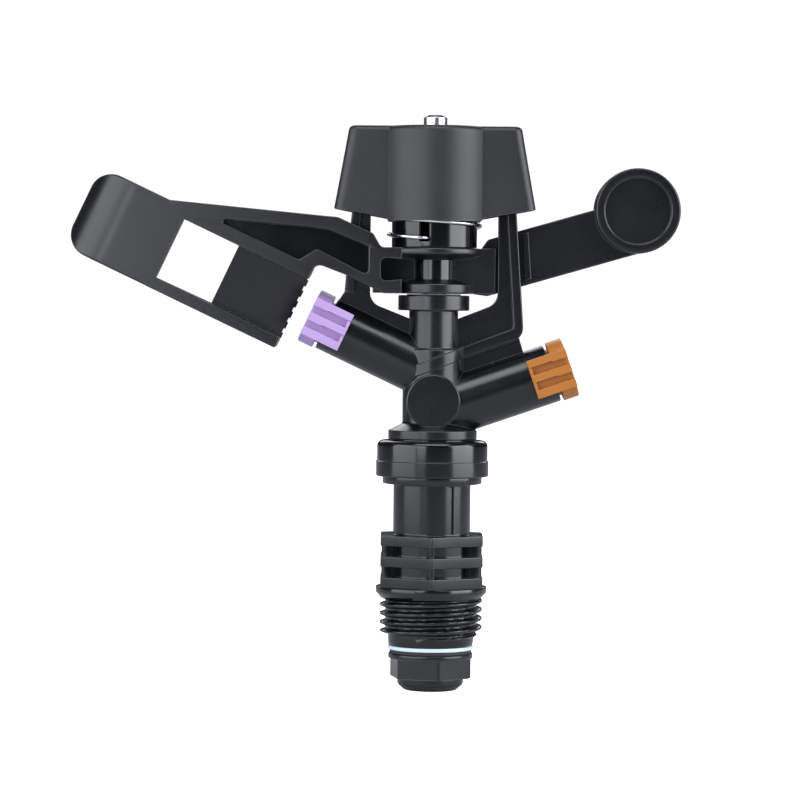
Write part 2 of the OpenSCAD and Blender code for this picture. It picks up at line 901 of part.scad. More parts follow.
function truss_pocket() =
    rounded(
        [
            jet(window_end - 5.6, half_w + top_rail),
            [-bridge_in - 12.2, z_hub + 4],
            [-bridge_in - 8.4, z_hub + 3.5],
            [-bridge_in - 0.3, z_hub + 0.2],
            [-bridge_in - 0.3, z_arm + 3.5],
            [-bridge_in - 10.8, z_arm + 8.8],
            jet(vane_start + 3.3, half_w + top_rail)
        ],
        [0.8, 3, 2, 0.8, 0.8, 0.8, 0.8]);

function hub_pocket() =
    rounded(
        [
            [-x_post, z_hub - hub_top_t],
            [0, z_hub - hub_top_t],
            [0, z_arm + hub_disc_t],
            [-x_post, z_arm + hub_disc_t]
        ],
        [1, 0, 0, 1]);

module truss() {
    slab(-arm_front, -arm_back)
        difference() {
            polygon(truss_outline());
            polygon(truss_pocket());
            polygon(hub_pocket());
        }
    slab(-arm_back - truss_web_t, -arm_back)
        difference() {
            polygon(truss_outline());
            polygon(hub_pocket());
        }
}

// Side profile of the vane's walls, along the jet and in depth.
function wall_profile() = [
    [vane_start, -arm_front],
    [window_end + 1, -arm_front],
    [window_end + 1, -arm_front + spoon_t],
    [window_start, vane_shallow + vane_t],
    [vane_start, vane_deep + vane_t]
];

// Walls above and below the jet, the slanted back between them, and its toothed near edge.
module vane() {
    teeth = floor((window_w + low_rail) / (2 * tooth));
    for (z = [[-half_w - low_rail, low_rail], [half_w, top_rail]])
        translate([0, 0, z[0]])
            linear_extrude(z[1])
                polygon(wall_profile());
    difference() {
        translate([0, 0, -half_w - eps])
            linear_extrude(window_w + 2 * eps)
                polygon([
                    [vane_start, vane_deep],
                    [window_start, vane_shallow],
                    [window_start, vane_shallow + vane_t],
                    [vane_start, vane_deep + vane_t]
                ]);
        for (i = [0 : teeth - 1])
            translate([vane_start - 0.5, 0, -half_w + tooth * (2 * i + 0.5)])
                cube([0.95, 3 * vane_deep, tooth]);
    }
}

// The spoon leaves the window at the arm's front and curls back behind the jet.
module spoon() {
    curl = 9.4;
    flat_end = spoon_end - curl;
    steps = 8;
    height = window_w + low_rail + 2.3;
    z0 = -half_w - low_rail;
    outer = [for (i = [0 : steps])
        [flat_end + curl * sin(90 * i / steps), -arm_front + curl * (1 - cos(90 * i / steps))]];
    inner = [for (i = [steps : -1 : 0])
        let (r = curl - spoon_t)
        [flat_end + r * sin(90 * i / steps), -arm_front + spoon_t + r * (1 - cos(90 * i / steps))]];
    intersection() {
        translate([0, 0, z0])
            linear_extrude(height)
                polygon(concat([[window_end, -arm_front]], outer, inner, [[window_end, -arm_front + spoon_t]]));
        slab(-arm_front - 1, arm_front)
            polygon(rounded(
                [
                    [window_end - 1, z0],
                    [spoon_end, z0],
                    [spoon_end, z0 + height],
                    [window_end - 1, z0 + height]
                ],
                [0, 4.8, 4.8, 0]));
    }
}

// Counterweight bar behind the spreader-side upright, with its striking pad and round weight.
module tail() {
    root_x = bridge_in - 2;
    reach = weight_x - root_x;
    // The bar's lower edge runs just above the weight's lowest point.
    foot_z = z_weight - weight_d / 2 - reach * tan(bar_angle) - 0.1;
    slab(arm_back, arm_back + bar_t)
        polygon([
            [root_x - 3, z_arm],
            [root_x, foot_z],
            [weight_x, foot_z + reach * tan(bar_angle)],
            [weight_x, foot_z + reach * tan(bar_angle) + bar_w / cos(bar_angle)],
            [root_x, foot_z + bar_w / cos(bar_angle)],
            [root_x - 1.3, z_hub]
        ]);
    // Striking pad, clear of the upright's edge
    slab(arm_back - 0.9, arm_back + eps)
        polygon([
            [upright_foot + 0.35, foot_z + 1.2 + 7.1 * tan(bar_angle)],
            [upright_foot + 1.7, foot_z + 1.2 + 8.4 * tan(bar_angle)],
            [upright_foot + 1.0, foot_z + bar_w - 0.2 + 7.7 * tan(bar_angle)],
            [upright_foot - 0.1, foot_z + bar_w - 0.2 + 6.4 * tan(bar_angle)]
        ]);
    translate([weight_x, weight_y + weight_t / 2, z_weight])
        rotate([90, 0, 0])
            cylinder(d = weight_d, h = weight_t);
}

module impact_arm()
    color(BLACK)
        difference() {
            union() {
                truss();
                on_range() {
                    vane();
                    spoon();
                }
                translate([0, 0, z_arm])
                    cylinder(d = low_disc_d, h = hub_disc_t);
                translate([0, 0, z_hub - hub_top_t])
                    cylinder(d = top_disc_d, h = hub_top_t);
                // Web through the hub, and the blocks that carry it to the truss and the tail
                translate([-hub_side, -hub_web_t / 2, z_arm])
                    cube([2 * hub_side, hub_web_t, hub_h]);
                translate([-hub_side, -arm_back - truss_web_t, z_arm])
                    cube([hub_side - x_post, arm_back + truss_web_t + hub_web_t / 2, hub_h]);
                translate([x_post - 1.2, -hub_web_t / 2, z_arm])
                    cube([hub_side - x_post + 1.2, arm_back + bar_t + hub_web_t / 2, hub_h]);
                tail();
            }
            translate([0, 0, z_arm - 1])
                cylinder(d = sleeve_d + 2 * seated, h = hub_h + 2);
            // Shallow dish in the weight's front, pocket for the slug in its back
            translate([weight_x, weight_y - weight_t / 2 + dish_depth, z_weight])
                rotate([90, 0, 0])
                    cylinder(d = slug_d, h = 2);
            translate([weight_x, weight_y + weight_t / 2 + 1, z_weight])
                rotate([90, 0, 0])
                    cylinder(d = slug_d, h = weight_t - dish_depth - 1);
        }

module counterweight_slug() {
    sunk = 0.4;
    floor_t = 2;
    color(STEEL)
        translate([weight_x, weight_y + weight_t / 2 - sunk, z_weight])
            rotate([90, 0, 0])
                cylinder(d = slug_d - 2 * seated, h = weight_t - dish_depth - floor_t - sunk);
}

inlet_bushing();
thrust_washer();
rubber_washer();
inlet_tube();
stem_o_ring();
thrust_spring();
spring_washer();
dust_cover();
sprinkler_body();
stream_straightener();
range_nozzle();
spreader_nozzle();
range_o_ring();
spreader_o_ring();
fulcrum_pin();
arm_washer();
weather_cap();
spring_retainer();
arm_spring();
arm_bearing();
impact_arm();
counterweight_slug();
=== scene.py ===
"""Looks for a plastic impact sprinkler: black body and arm, two clip-on nozzles, steel pin and springs."""

import math

import bmesh
import bpy
import numpy as np
from mathutils import Matrix, Vector
from mathutils.geometry import tessellate_polygon


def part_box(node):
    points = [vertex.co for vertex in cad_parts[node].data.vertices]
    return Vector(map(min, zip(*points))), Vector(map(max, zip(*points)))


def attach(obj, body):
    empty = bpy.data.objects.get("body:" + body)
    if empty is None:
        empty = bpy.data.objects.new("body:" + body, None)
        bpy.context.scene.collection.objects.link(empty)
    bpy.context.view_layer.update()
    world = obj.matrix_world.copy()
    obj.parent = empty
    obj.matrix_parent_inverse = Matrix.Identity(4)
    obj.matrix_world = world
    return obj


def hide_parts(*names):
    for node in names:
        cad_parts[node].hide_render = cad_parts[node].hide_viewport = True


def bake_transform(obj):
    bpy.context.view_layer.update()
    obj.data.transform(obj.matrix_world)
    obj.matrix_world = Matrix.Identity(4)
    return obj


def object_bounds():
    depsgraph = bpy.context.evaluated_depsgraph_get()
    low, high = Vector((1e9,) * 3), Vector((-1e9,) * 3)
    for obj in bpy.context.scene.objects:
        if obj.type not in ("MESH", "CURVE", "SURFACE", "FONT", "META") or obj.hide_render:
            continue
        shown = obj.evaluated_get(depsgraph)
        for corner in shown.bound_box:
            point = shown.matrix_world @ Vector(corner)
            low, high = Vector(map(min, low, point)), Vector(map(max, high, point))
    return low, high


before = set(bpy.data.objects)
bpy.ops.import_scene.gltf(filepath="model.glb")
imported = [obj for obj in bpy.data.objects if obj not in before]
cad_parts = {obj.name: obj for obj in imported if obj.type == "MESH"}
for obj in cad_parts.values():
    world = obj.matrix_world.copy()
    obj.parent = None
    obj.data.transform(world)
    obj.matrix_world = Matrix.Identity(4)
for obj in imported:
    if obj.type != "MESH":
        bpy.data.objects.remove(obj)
cad_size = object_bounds()
MM = 0.001


# ---- Inlet bushing ----
# The fixed piece that screws into the riser: a pipe thread, a hexagon made of three bars with pockets
# between them, a plain neck and a cup for the thrust spring. Injection moulded in glossy black acetal
# in a two-part mould, whose witness groove runs down the neck.

bushing_low, bushing_high = (np.array(corner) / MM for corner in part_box("inlet_bushing"))
thread_r = 10.4775
thread_pitch = 1.814
thread_depth = 1.12
thread_bottom = bushing_low[2] + 1.55
hexagon_bottom = 2.2
hexagon_af = 20.8
bar_h = 2.14
pocket_h = 2.1
neck_bottom = hexagon_bottom + 3 * bar_h + 2 * pocket_h
neck_r = 7.9
cup_bottom = bushing_high[2] - 2.3
bore_r = 5.46


def rounded(points, radii, steps=4):
    """Outline whose corners become arcs. An arc's centre lies on the corner's bisector, at the radius
    over the sine of half the angle, and the arc turns through half a turn less that angle."""
    points = np.asarray(points, float)
    arcs = []
    for before, corner, after, radius in zip(
        np.roll(points, 1, 0), points, np.roll(points, -1, 0), np.broadcast_to(radii, len(points))
    ):
        u = (before - corner) / np.linalg.norm(before - corner)
        v = (after - corner) / np.linalg.norm(after - corner)
        half = math.acos(np.clip(u @ v, -1, 1)) / 2
        if radius <= 0 or half > 1.55:
            arcs.append(corner[None])
            continue
        centre = corner + (u + v) / np.linalg.norm(u + v) * radius / math.sin(half)
        start = corner + u * radius / math.tan(half) - centre
        way = np.sign(-u[0] * v[1] + u[1] * v[0])
        angle = math.atan2(start[1], start[0]) + way * (math.pi - 2 * half) * np.linspace(0, 1, steps + 1)
        arcs.append(centre + radius * np.stack([np.cos(angle), np.sin(angle)], 1))
    return np.concatenate(arcs)


def skin(rows, closed):
    """Points and faces of a surface through rings: rows[i, j] is point j of ring i. Neighbouring rings
    are joined by quads; a closed one joins its last ring to its first, and the others get end faces."""
    rows = np.asarray(rows, float)
    count, around = rows.shape[:2]
    index = np.arange(count * around).reshape(count, around)
    low = index if closed else index[:-1]
    high = np.roll(index, -1, 0) if closed else index[1:]
    quads = np.stack([low, np.roll(low, -1, 1), np.roll(high, -1, 1), high], -1).reshape(-1, 4)
    ends = [] if closed else [index[0].tolist(), index[-1].tolist()]
    return rows.reshape(-1, 3), quads.tolist() + ends


def turned(profile, around=144, closed=True, bend=None):
    """A profile of (radius, height) carried round the Z axis: x = r cos a, y = r sin a, z = h.
    bend(r, h, a), if given, returns the radius at height h and angle a."""
    profile = np.asarray(profile, float)
    angle = np.linspace(0, 2 * math.pi, around, endpoint=False)[None, :]
    height = np.repeat(profile[:, 1:], around, 1)
    radius = np.repeat(profile[:, :1], around, 1)
    if bend:
        radius = bend(radius, height, angle)
    return skin(np.stack([radius * np.cos(angle), radius * np.sin(angle), height], -1), closed)


def plate(outline, depth, edge=0.2, holes=(), steps=3):
    """A flat plate of an outline in (u, v) with w from 0 to depth. Its rims are quarter rounds: at the
    angle q the outline is drawn in by edge (1 - sin q) and lies edge (1 - cos q) below the face."""
    def counter(loop, wanted):
        x, y = np.asarray(loop, float).T
        area = (x * np.roll(y, -1) - y * np.roll(x, -1)).sum()
        return np.asarray(loop, float)[:: 1 if area * wanted > 0 else -1]

    loops = [counter(outline, 1)] + [counter(hole, -1) for hole in holes]
    q = np.linspace(0, math.pi / 2, steps + 1)
    inset = edge * (1 - np.sin(q))
    drop = edge * (1 - np.cos(q))
    inset = np.concatenate([inset, inset[::-1]])
    level = np.concatenate([drop, depth - drop[::-1]])
    points, faces, first, last, base = [], [], [], [], 0
    for loop in loops:
        ahead = np.roll(loop, -1, 0) - loop
        ahead /= np.linalg.norm(ahead, axis=1, keepdims=True)
        left = np.stack([-ahead[:, 1], ahead[:, 0]], 1)
        back = np.roll(left, 1, 0)
        mitre = (left + back) / (1 + (left * back).sum(1, keepdims=True))
        rows = np.empty((len(inset), len(loop), 3))
        rows[..., :2] = loop + inset[:, None, None] * mitre
        rows[..., 2] = level[:, None]
        flat, quads = skin(rows, False)
        faces += (np.array(quads[:-2]) + base).tolist()
        points.append(flat)
        first += list(range(base, base + len(loop)))
        last += list(range(base + len(flat) - len(loop), base + len(flat)))
        base += len(flat)
    points = np.concatenate(points)
    ends = [np.array(part) for part in (first, last)]
    for end in ends:
        cuts = np.cumsum([len(loop) for loop in loops])[:-1]
        parts = [[Vector(p) for p in points[part]] for part in np.split(end, cuts)]
        faces += [[int(end[i]) for i in triangle] for triangle in tessellate_polygon(parts)]
    return points, faces


def placed(shape, origin, u, v, w):
    """A shape moved so that its (u, v, w) axes lie along the three given directions from an origin."""
    points, faces = shape
    return np.asarray(origin, float) + points @ np.array([u, v, w], float), faces


X, Y, Z = np.eye(3)


def solid(name, shape):
    """A closed mesh object from points in millimetres, with its faces turned outwards."""
    points, faces = shape
    mesh = bpy.data.meshes.new(name)
    mesh.from_pydata((np.asarray(points) * MM).tolist(), [], faces)
    cleaner = bmesh.new()
    cleaner.from_mesh(mesh)
    bmesh.ops.remove_doubles(cleaner, verts=cleaner.verts, dist=1e-7)
    bmesh.ops.recalc_face_normals(cleaner, faces=cleaner.faces)
    cleaner.to_mesh(mesh)
    cleaner.free()
    made = bpy.data.objects.new(name, mesh)
    bpy.context.scene.collection.objects.link(made)
    return made


def moulded(name, parts, cuts, material, sharp=32):
    """One piece from overlapping shapes: their union, less the shapes in cuts. Faces that meet at less
    than the sharp angle shade as one, and large faces keep their own normals. A part may be an object
    that is made already."""
    body, *others = [part if isinstance(part, bpy.types.Object) else solid(name, part) for part in parts]
    tools = [solid(name + "_tool", cut) for cut in cuts]
    for other, kind in [(o, "UNION") for o in others] + [(t, "DIFFERENCE") for t in tools]:
        step = body.modifiers.new(kind.lower(), "BOOLEAN")
        step.operation = kind
        step.solver = "MANIFOLD"
        step.object = other
    if others or tools:
        graph = bpy.context.evaluated_depsgraph_get()
        whole = bpy.data.meshes.new_from_object(body.evaluated_get(graph))
        body.modifiers.clear()
        body.data = whole
        for spare in others + tools:
            bpy.data.objects.remove(spare)
    body.data.name = name
    body.data.materials.clear()
    body.data.materials.append(material)
    body.data.shade_smooth()
    body.data.set_sharp_from_angle(angle=math.radians(sharp))
    even = body.modifiers.new("even", "WEIGHTED_NORMAL")
    even.keep_sharp = True
    return body


def finish_tree(name, colour, metallic, ior):
    """A material with its node tree, its shader, and a function that adds a node and sets its values."""
    material = bpy.data.materials.new(name)
    material.use_nodes = True
    material.diffuse_color = (*colour, 1)
    tree = material.node_tree
    shader = tree.nodes["Principled BSDF"]
    shader.inputs["Base Color"].default_value = (*colour, 1)
    shader.inputs["Metallic"].default_value = metallic
    shader.inputs["IOR"].default_value = ior

    def node(kind, links=None, **values):
        made = tree.nodes.new("ShaderNode" + kind)
        for key, value in values.items():
            if hasattr(made, key):
                setattr(made, key, value)
            else:
                made.inputs[key.replace("_", " ")].default_value = value
        for socket, source in (links or {}).items():
            tree.links.new(source, made.inputs[socket])
        return made

    return material, tree, shader, node


def plastic(name, colour, roughness, grain, grain_height, painted_edge_highlight=0.25, drift=0.15, sheltered=0.0):
    """Moulded plastic. Colour and gloss drift slowly with the melt's flow, a spark-eroded grain of the
    given size in millimetres roughens the skin, hairline scuffs cross it, and the edges get a painted
    highlight that is paler in patches."""
    material, tree, shader, node = finish_tree(name, colour, 0.0, 1.49)
    place = node("TexCoord").outputs["Object"]
    flow = node("TexNoise", {"Vector": place}, Scale=95.0, Detail=4.0, Roughness=0.6, Distortion=0.3)
    fine = node("TexNoise", {"Vector": place}, Scale=1 / (grain * MM), Detail=3.0, Roughness=0.65)
    skew = node("Mapping", {"Vector": place}, Rotation=(0.3, 0.9, 0.4), Scale=(2600.0, 240.0, 240.0))
    scuff = node("TexNoise", {"Vector": skew.outputs[0]}, Scale=1.0, Detail=5.0, Roughness=0.7)
    lines = node("MapRange", {0: scuff.outputs[0]}, clamp=True)
    lines.inputs[1].default_value = 0.63
    lines.inputs[2].default_value = 0.72
    # Painted edge highlight: edges are paled where a widened normal leaves the true one
    wide = node("Bevel", samples=4, Radius=0.35 * MM)
    true = node("NewGeometry")
    apart = node("VectorMath", {0: wide.outputs[0], 1: true.outputs["Normal"]}, operation="DISTANCE")
    edge_highlight_mask = node("MapRange", {0: apart.outputs["Value"]}, clamp=True)
    edge_highlight_mask.inputs[1].default_value = 0.12
    edge_highlight_mask.inputs[2].default_value = 0.9
    patchy = node("Math", {0: edge_highlight_mask.outputs[0], 1: flow.outputs[0]}, operation="MULTIPLY")
    edge_highlight_weight = node("Math", {0: patchy.outputs[0]}, operation="MULTIPLY")
    edge_highlight_weight.inputs[1].default_value = painted_edge_highlight
    tint = node("MapRange", {0: flow.outputs[0]})
    tint.inputs[1].default_value = 0.3
    tint.inputs[2].default_value = 0.7
    deep = node("MixRGB", {0: tint.outputs[0]})
    deep.inputs[1].default_value = (*((1 - drift) * c for c in colour), 1)
    deep.inputs[2].default_value = (*((1 + drift) * c for c in colour), 1)
    with_edge_highlight = node("MixRGB", {0: edge_highlight_weight.outputs[0], 1: deep.outputs[0]})
    with_edge_highlight.inputs[2].default_value = (*(min(1.0, 1.5 * c + 0.20) for c in colour), 1)
    tree.links.new(with_edge_highlight.outputs[0], shader.inputs["Base Color"])
    gloss = node("MapRange", {0: flow.outputs[0]})
    gloss.inputs[1].default_value = 0.25
    gloss.inputs[2].default_value = 0.75
    gloss.inputs[3].default_value = roughness - 0.04
    gloss.inputs[4].default_value = roughness + 0.05
    # Faces set back from the front between the hub and the spoon come off a polished part of the mould
    spot = node("SeparateXYZ", {0: place})
    deep_in = node("MapRange", {0: spot.outputs[1]}, clamp=True)
    deep_in.inputs[1].default_value = -6.0 * MM
    deep_in.inputs[2].default_value = -4.6 * MM
    deep_in.inputs[4].default_value = sheltered
    from_vane = node("Math", {0: spot.outputs[0]}, operation="ADD")
    from_vane.inputs[1].default_value = 30.0 * MM
    away = node("Math", {0: from_vane.outputs[0]}, operation="ABSOLUTE")
    one_side = node("MapRange", {0: away.outputs[0]}, clamp=True)
    one_side.inputs[1].default_value = 27.0 * MM
    one_side.inputs[2].default_value = 22.0 * MM
    polished = node("Math", {0: deep_in.outputs[0], 1: one_side.outputs[0]}, operation="MULTIPLY")
    skin_gloss = node("Math", {0: gloss.outputs[0], 1: polished.outputs[0]}, operation="SUBTRACT")
    dull = node("Math", {0: lines.outputs[0], 2: skin_gloss.outputs[0]}, operation="MULTIPLY_ADD")
    dull.inputs[1].default_value = 0.10
    tree.links.new(dull.outputs[0], shader.inputs["Roughness"])
    peel = node("TexNoise", {"Vector": place}, Scale=900.0, Detail=1.0)
    waves = node("Bump", {"Height": peel.outputs[0]}, Strength=0.12, Distance=0.02 * MM)
    relief = node("Bump", {"Height": fine.outputs[0], "Normal": waves.outputs[0]}, Strength=0.5)
    relief.inputs["Distance"].default_value = grain_height * MM
    tree.links.new(relief.outputs[0], shader.inputs["Normal"])
    return material


# The worn value of each plastic below sets how strongly its edges are paled by the painted highlight
gloss_black = plastic("gloss_black_acetal", (0.0024, 0.0029, 0.0037), 0.15, 0.30, 0.004, painted_edge_highlight=0.5)


def bushing_radius(radius, height, angle):
    """Adds the thread and the witness groove. The thread's phase is height over pitch less the share of
    a turn, a right-hand helix; a flat-topped wave of that phase is cut from the crest radius."""
    phase = np.mod(height / thread_pitch - angle / (2 * math.pi) - 0.11, 1.0)
    flank = np.clip((np.abs(phase - 0.5) - 0.09) / 0.33, 0, 1)
    valley = 0.5 - 0.5 * np.cos(math.pi * (1 - flank) ** 0.9)
    run_in = np.clip((height - thread_bottom) / 1.3, 0, 1)
    run_out = np.clip((0.15 - height) / 0.8, 0, 1)
    threaded = (height > thread_bottom + 1e-6) & (height < 0) & (radius > 10)
    cut = thread_depth * (1 - valley) * run_out + (1 - run_in) * (thread_r - 8.75)
    radius = np.where(threaded, thread_r - np.minimum(cut, thread_r - 8.75), radius)
    off_groove = np.abs(np.angle(np.exp(1j * (angle - math.radians(-60)))))
    groove = 0.6 * np.clip((0.085 - off_groove) / 0.04, 0, 1)
    necked = (height > neck_bottom + 0.35) & (height < cup_bottom - 0.4) & (np.abs(radius - neck_r) < 0.02)
    return np.where(necked, radius - groove, radius)


lead_up = rounded(
    [(bore_r, bushing_low[2]), (8.7, bushing_low[2]), (8.7, thread_bottom), (bore_r, thread_bottom)],
    [0.3, 0.5, 0, 0],
)[:-2]
thread_up = np.stack([np.full(100, thread_r), np.linspace(thread_bottom, 0, 100)], 1)
neck_levels = [neck_bottom + 0.28, *np.linspace(neck_bottom + 0.4, cup_bottom - 0.5, 8), cup_bottom - 0.3]
upper = rounded(
    [
        (thread_r, 0), (11.35, 1.0), (11.35, hexagon_bottom), (8.6, hexagon_bottom), (8.6, neck_bottom),
        (neck_r, neck_bottom), *[(neck_r, level) for level in neck_levels], (neck_r, cup_bottom),
        (10.15, cup_bottom), (10.15, bushing_high[2]), (8.85, bushing_high[2]), (8.85, cup_bottom + 1.2),
        (bore_r, cup_bottom + 1.2),
    ],
    [0, 0.2, 0.25, 0, 0, 0.2, *[0] * len(neck_levels), 0.25, 0.25, 0.2, 0.2, 0.2, 0.2],
)
bushing_shapes = [turned(np.concatenate([lead_up, thread_up[1:], upper]), 288, bend=bushing_radius)]
hexagon_angle = np.radians(30 + 60 * np.arange(6))
corner_r = hexagon_af / 2 / math.cos(math.pi / 6)
hexagon = corner_r * np.stack([np.cos(hexagon_angle), np.sin(hexagon_angle)], 1)
circle_angle = np.linspace(0, 2 * math.pi, 72, endpoint=False)
unit_circle = np.stack([np.cos(circle_angle), np.sin(circle_angle)], 1)
for level in range(3):
    bar = plate(rounded(hexagon, 0.35), bar_h, 0.18, [7.2 * unit_circle])
    height = hexagon_bottom + level * (bar_h + pocket_h)
    bushing_shapes.append(placed(bar, (0, 0, height), X, Y, Z))
for angle in hexagon_angle:
    outward = np.array([math.cos(angle), math.sin(angle), 0])
    sideways = np.array([-outward[1], outward[0], 0])
    rib_section = [(-0.47, 7.2), (0.47, 7.2), (0.47, 11.5), (-0.47, 11.5)]
    rib = plate(rib_section, neck_bottom - hexagon_bottom - 0.4, 0.1)
    bushing_shapes.append(placed(rib, (0, 0, hexagon_bottom + 0.2), sideways, outward, Z))
bushing = moulded("bushing_moulding", bushing_shapes, [], gloss_black)
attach(bushing, "base")
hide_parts("inlet_bushing")


# ---- Washers under the bushing ----
# Two loose rings on the tube's stem take the thrust and seal the joint: a hard white low-friction ring,
# faced on a lathe, over a soft black rubber one punched from sheet.


def ring(node, edge):
    """A flat ring with rounded edges that fills its CAD node's box; the bore is the stem's."""
    low, high = (np.array(corner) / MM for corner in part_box(node))
    inner, outer = 5.46, high[0]
    return turned(
        rounded([(inner, low[2]), (outer, low[2]), (outer, high[2]), (inner, high[2])], edge, 3), 128
    )


def faced_white():
    """White low-friction plastic: faint rings from facing, and a soft glow under the skin."""
    material, tree, shader, node = finish_tree("white_thrust_plastic", (0.78, 0.85, 0.93), 0.0, 1.4)
    shader.inputs["Subsurface Weight"].default_value = 0.25
    shader.inputs["Subsurface Scale"].default_value = 0.4 * MM
    place = node("TexCoord").outputs["Object"]
    rings = node("TexWave", {"Vector": place}, wave_type="RINGS", rings_direction="Z", Scale=2200.0,
                 Distortion=0.6, Detail=1.0)
    relief = node("Bump", {"Height": rings.outputs[1]}, Strength=0.3, Distance=0.01 * MM)
    tree.links.new(relief.outputs[0], shader.inputs["Normal"])
    cloud = node("TexNoise", {"Vector": place}, Scale=260.0, Detail=3.0)
    tone = node("MixRGB", {0: cloud.outputs[0]})
    tone.inputs[1].default_value = (0.50, 0.60, 0.72, 1)
    tone.inputs[2].default_value = (0.62, 0.71, 0.82, 1)
    tree.links.new(tone.outputs[0], shader.inputs["Base Color"])
    gloss = node("MapRange", {0: cloud.outputs[0]})
    gloss.inputs[3].default_value = 0.3
    gloss.inputs[4].default_value = 0.45
    tree.links.new(gloss.outputs[0], shader.inputs["Roughness"])
    return material


def soft_rubber():
    """Black rubber: dull, with a fine cloth-like bloom and small pits."""
    material, tree, shader, node = finish_tree("soft_black_rubber", (0.012, 0.012, 0.012), 0.0, 1.5)
    place = node("TexCoord").outputs["Object"]
    bloom = node("TexNoise", {"Vector": place}, Scale=700.0, Detail=5.0, Roughness=0.7)
    tone = node("MixRGB", {0: bloom.outputs[0]})
    tone.inputs[1].default_value = (0.007, 0.007, 0.007, 1)
    tone.inputs[2].default_value = (0.03, 0.03, 0.031, 1)
    tree.links.new(tone.outputs[0], shader.inputs["Base Color"])
    gloss = node("MapRange", {0: bloom.outputs[0]})
    gloss.inputs[3].default_value = 0.55
    gloss.inputs[4].default_value = 0.8
    tree.links.new(gloss.outputs[0], shader.inputs["Roughness"])
    pits = node("TexVoronoi", {"Vector": place}, Scale=5200.0)
    relief = node("Bump", {"Height": pits.outputs[0]}, Strength=0.35, Distance=0.02 * MM)
    tree.links.new(relief.outputs[0], shader.inputs["Normal"])
    return material


white_ring_finish = faced_white()
rubber = soft_rubber()
thrust_ring = moulded("thrust_ring", [ring("thrust_washer", 0.12)], [], white_ring_finish)
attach(thrust_ring, "head")
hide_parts("thrust_washer")
seal_ring = moulded("seal_ring", [ring("rubber_washer", 0.2)], [], rubber)
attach(seal_ring, "head")
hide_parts("rubber_washer")


# ---- Inlet tube ----
# The hollow spindle that turns in the bushing: a round spigot, a hexagon for the spanner, a rim that
# carries the washers and a long stem that screws into the body. Satin black acetal.

tube_low, tube_high = (np.array(corner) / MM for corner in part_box("inlet_tube"))
rim_r = 8.65
rim_top = np.array(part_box("rubber_washer")[0])[2] / MM
foot_top = rim_top - 1.0
foot_bottom = foot_top - 4.0
foot_af = 15.2
water_r = 4.0
stem_r = 5.4
satin_black = plastic("satin_black_acetal", (0.0028, 0.0034, 0.0044), 0.24, 0.16, 0.012, painted_edge_highlight=0.7)


def foot_radius(radius, height, angle):
    """Between the foot's ends the radius is the hexagon's, half the flats' distance over the cosine of
    the angle from the nearest flat, but never more than the rim's."""
    from_flat = np.mod(angle - math.radians(11.2) + math.pi / 6, math.pi / 3) - math.pi / 6
    hexagonal = np.minimum(foot_af / 2 / np.cos(from_flat), radius)
    inside = (height > foot_bottom - 0.01) & (height < foot_top + 0.01) & (radius > 7.3)
    return np.where(inside, hexagonal, radius)


tube_profile = rounded(
    [
        (water_r, tube_low[2]), (5.35, tube_low[2]), (6.75, tube_low[2] + 1.2), (6.75, foot_bottom),
        (rim_r - 0.05, foot_bottom), (rim_r - 0.05, foot_top), (rim_r, foot_top), (rim_r, rim_top),
        (stem_r, rim_top), (stem_r, tube_high[2]), (water_r, tube_high[2]),
    ],
    [0.4, 0.5, 0.9, 0, 0.25, 0, 0.05, 0.2, 0, 0.3, 0.3],
)
tube = moulded("tube_moulding", [turned(tube_profile, 240, bend=foot_radius)], [], satin_black)
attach(tube, "head")
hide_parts("inlet_tube")


# ---- Dust cover ----
# A loose glossy cup that keeps grit out of the thrust spring. It hangs under the body's collar; a fine
# step runs round it where the mould's two halves met.

cover_low, cover_high = (np.array(corner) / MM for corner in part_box("dust_cover"))
cover_r = cover_high[0]
cover_top = cover_high[2] - 0.2
cover_step = cover_low[2] + 0.42 * 7.4
cover_profile = rounded(
    [
        (10.5, cover_low[2]), (cover_r, cover_low[2]), (cover_r, cover_step),
        (cover_r - 0.2, cover_step + 0.12), (cover_r - 0.2, cover_top), (8.0, cover_top),
        (8.0, cover_high[2]), (6.9, cover_high[2]),
        (6.9, cover_top - 1.4), (10.5, cover_top - 1.4),
    ],
    [0.15, 0.3, 0.07, 0.05, 1.2, 0, 0.08, 0.05, 0.1, 0.3],
    5,
)
cover = moulded("cover_moulding", [turned(cover_profile, 192)], [], gloss_black)
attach(cover, "head")
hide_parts("dust_cover")


# ---- Sprinkler body ----
# One moulding in satin black acetal: collar, body tube with a round boss, two barrels, the post that
# carries the arm, and the bridge whose rim and brace stand proud of a thin web.

collar_bottom = cover_high[2]
collar_top = collar_bottom + 1.9
boss_z = collar_bottom + 7.8
spreader_z = boss_z - 2.5
range_z = boss_z + 5.3
seat_top = np.array(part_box("arm_washer")[0])[2] / MM
seat_bottom = seat_top - 3.1
crossbar_top = np.array(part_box("sprinkler_body")[1])[2] / MM
crossbar_bottom = crossbar_top - 5.0
range_angle, spreader_angle = math.radians(25.25), math.radians(19.25)
range_r, spreader_r = 5.5, 6.0
upright_top, upright_foot = 15.8, 18.2
range_len = upright_foot / math.cos(range_angle) + 3.98
spreader_len = upright_foot / math.cos(spreader_angle) + 6.32
range_out = np.array([-math.cos(range_angle), 0, math.sin(range_angle)])
range_up = np.array([math.sin(range_angle), 0, math.cos(range_angle)])
spreader_out = np.array([math.cos(spreader_angle), 0, math.sin(spreader_angle)])
spreader_up = np.array([-math.sin(spreader_angle), 0, math.cos(spreader_angle)])
range_root = (0, 0, range_z)
spreader_root = (0, 0, spreader_z)
opening_half = 13.0
rim_half, web_half = 2.5, 1.3
saddle_z = range_z + 9.5
saddle_slope, brace_slope = math.tan(math.radians(21.6)), math.tan(math.radians(20.6))
wall = 1.05


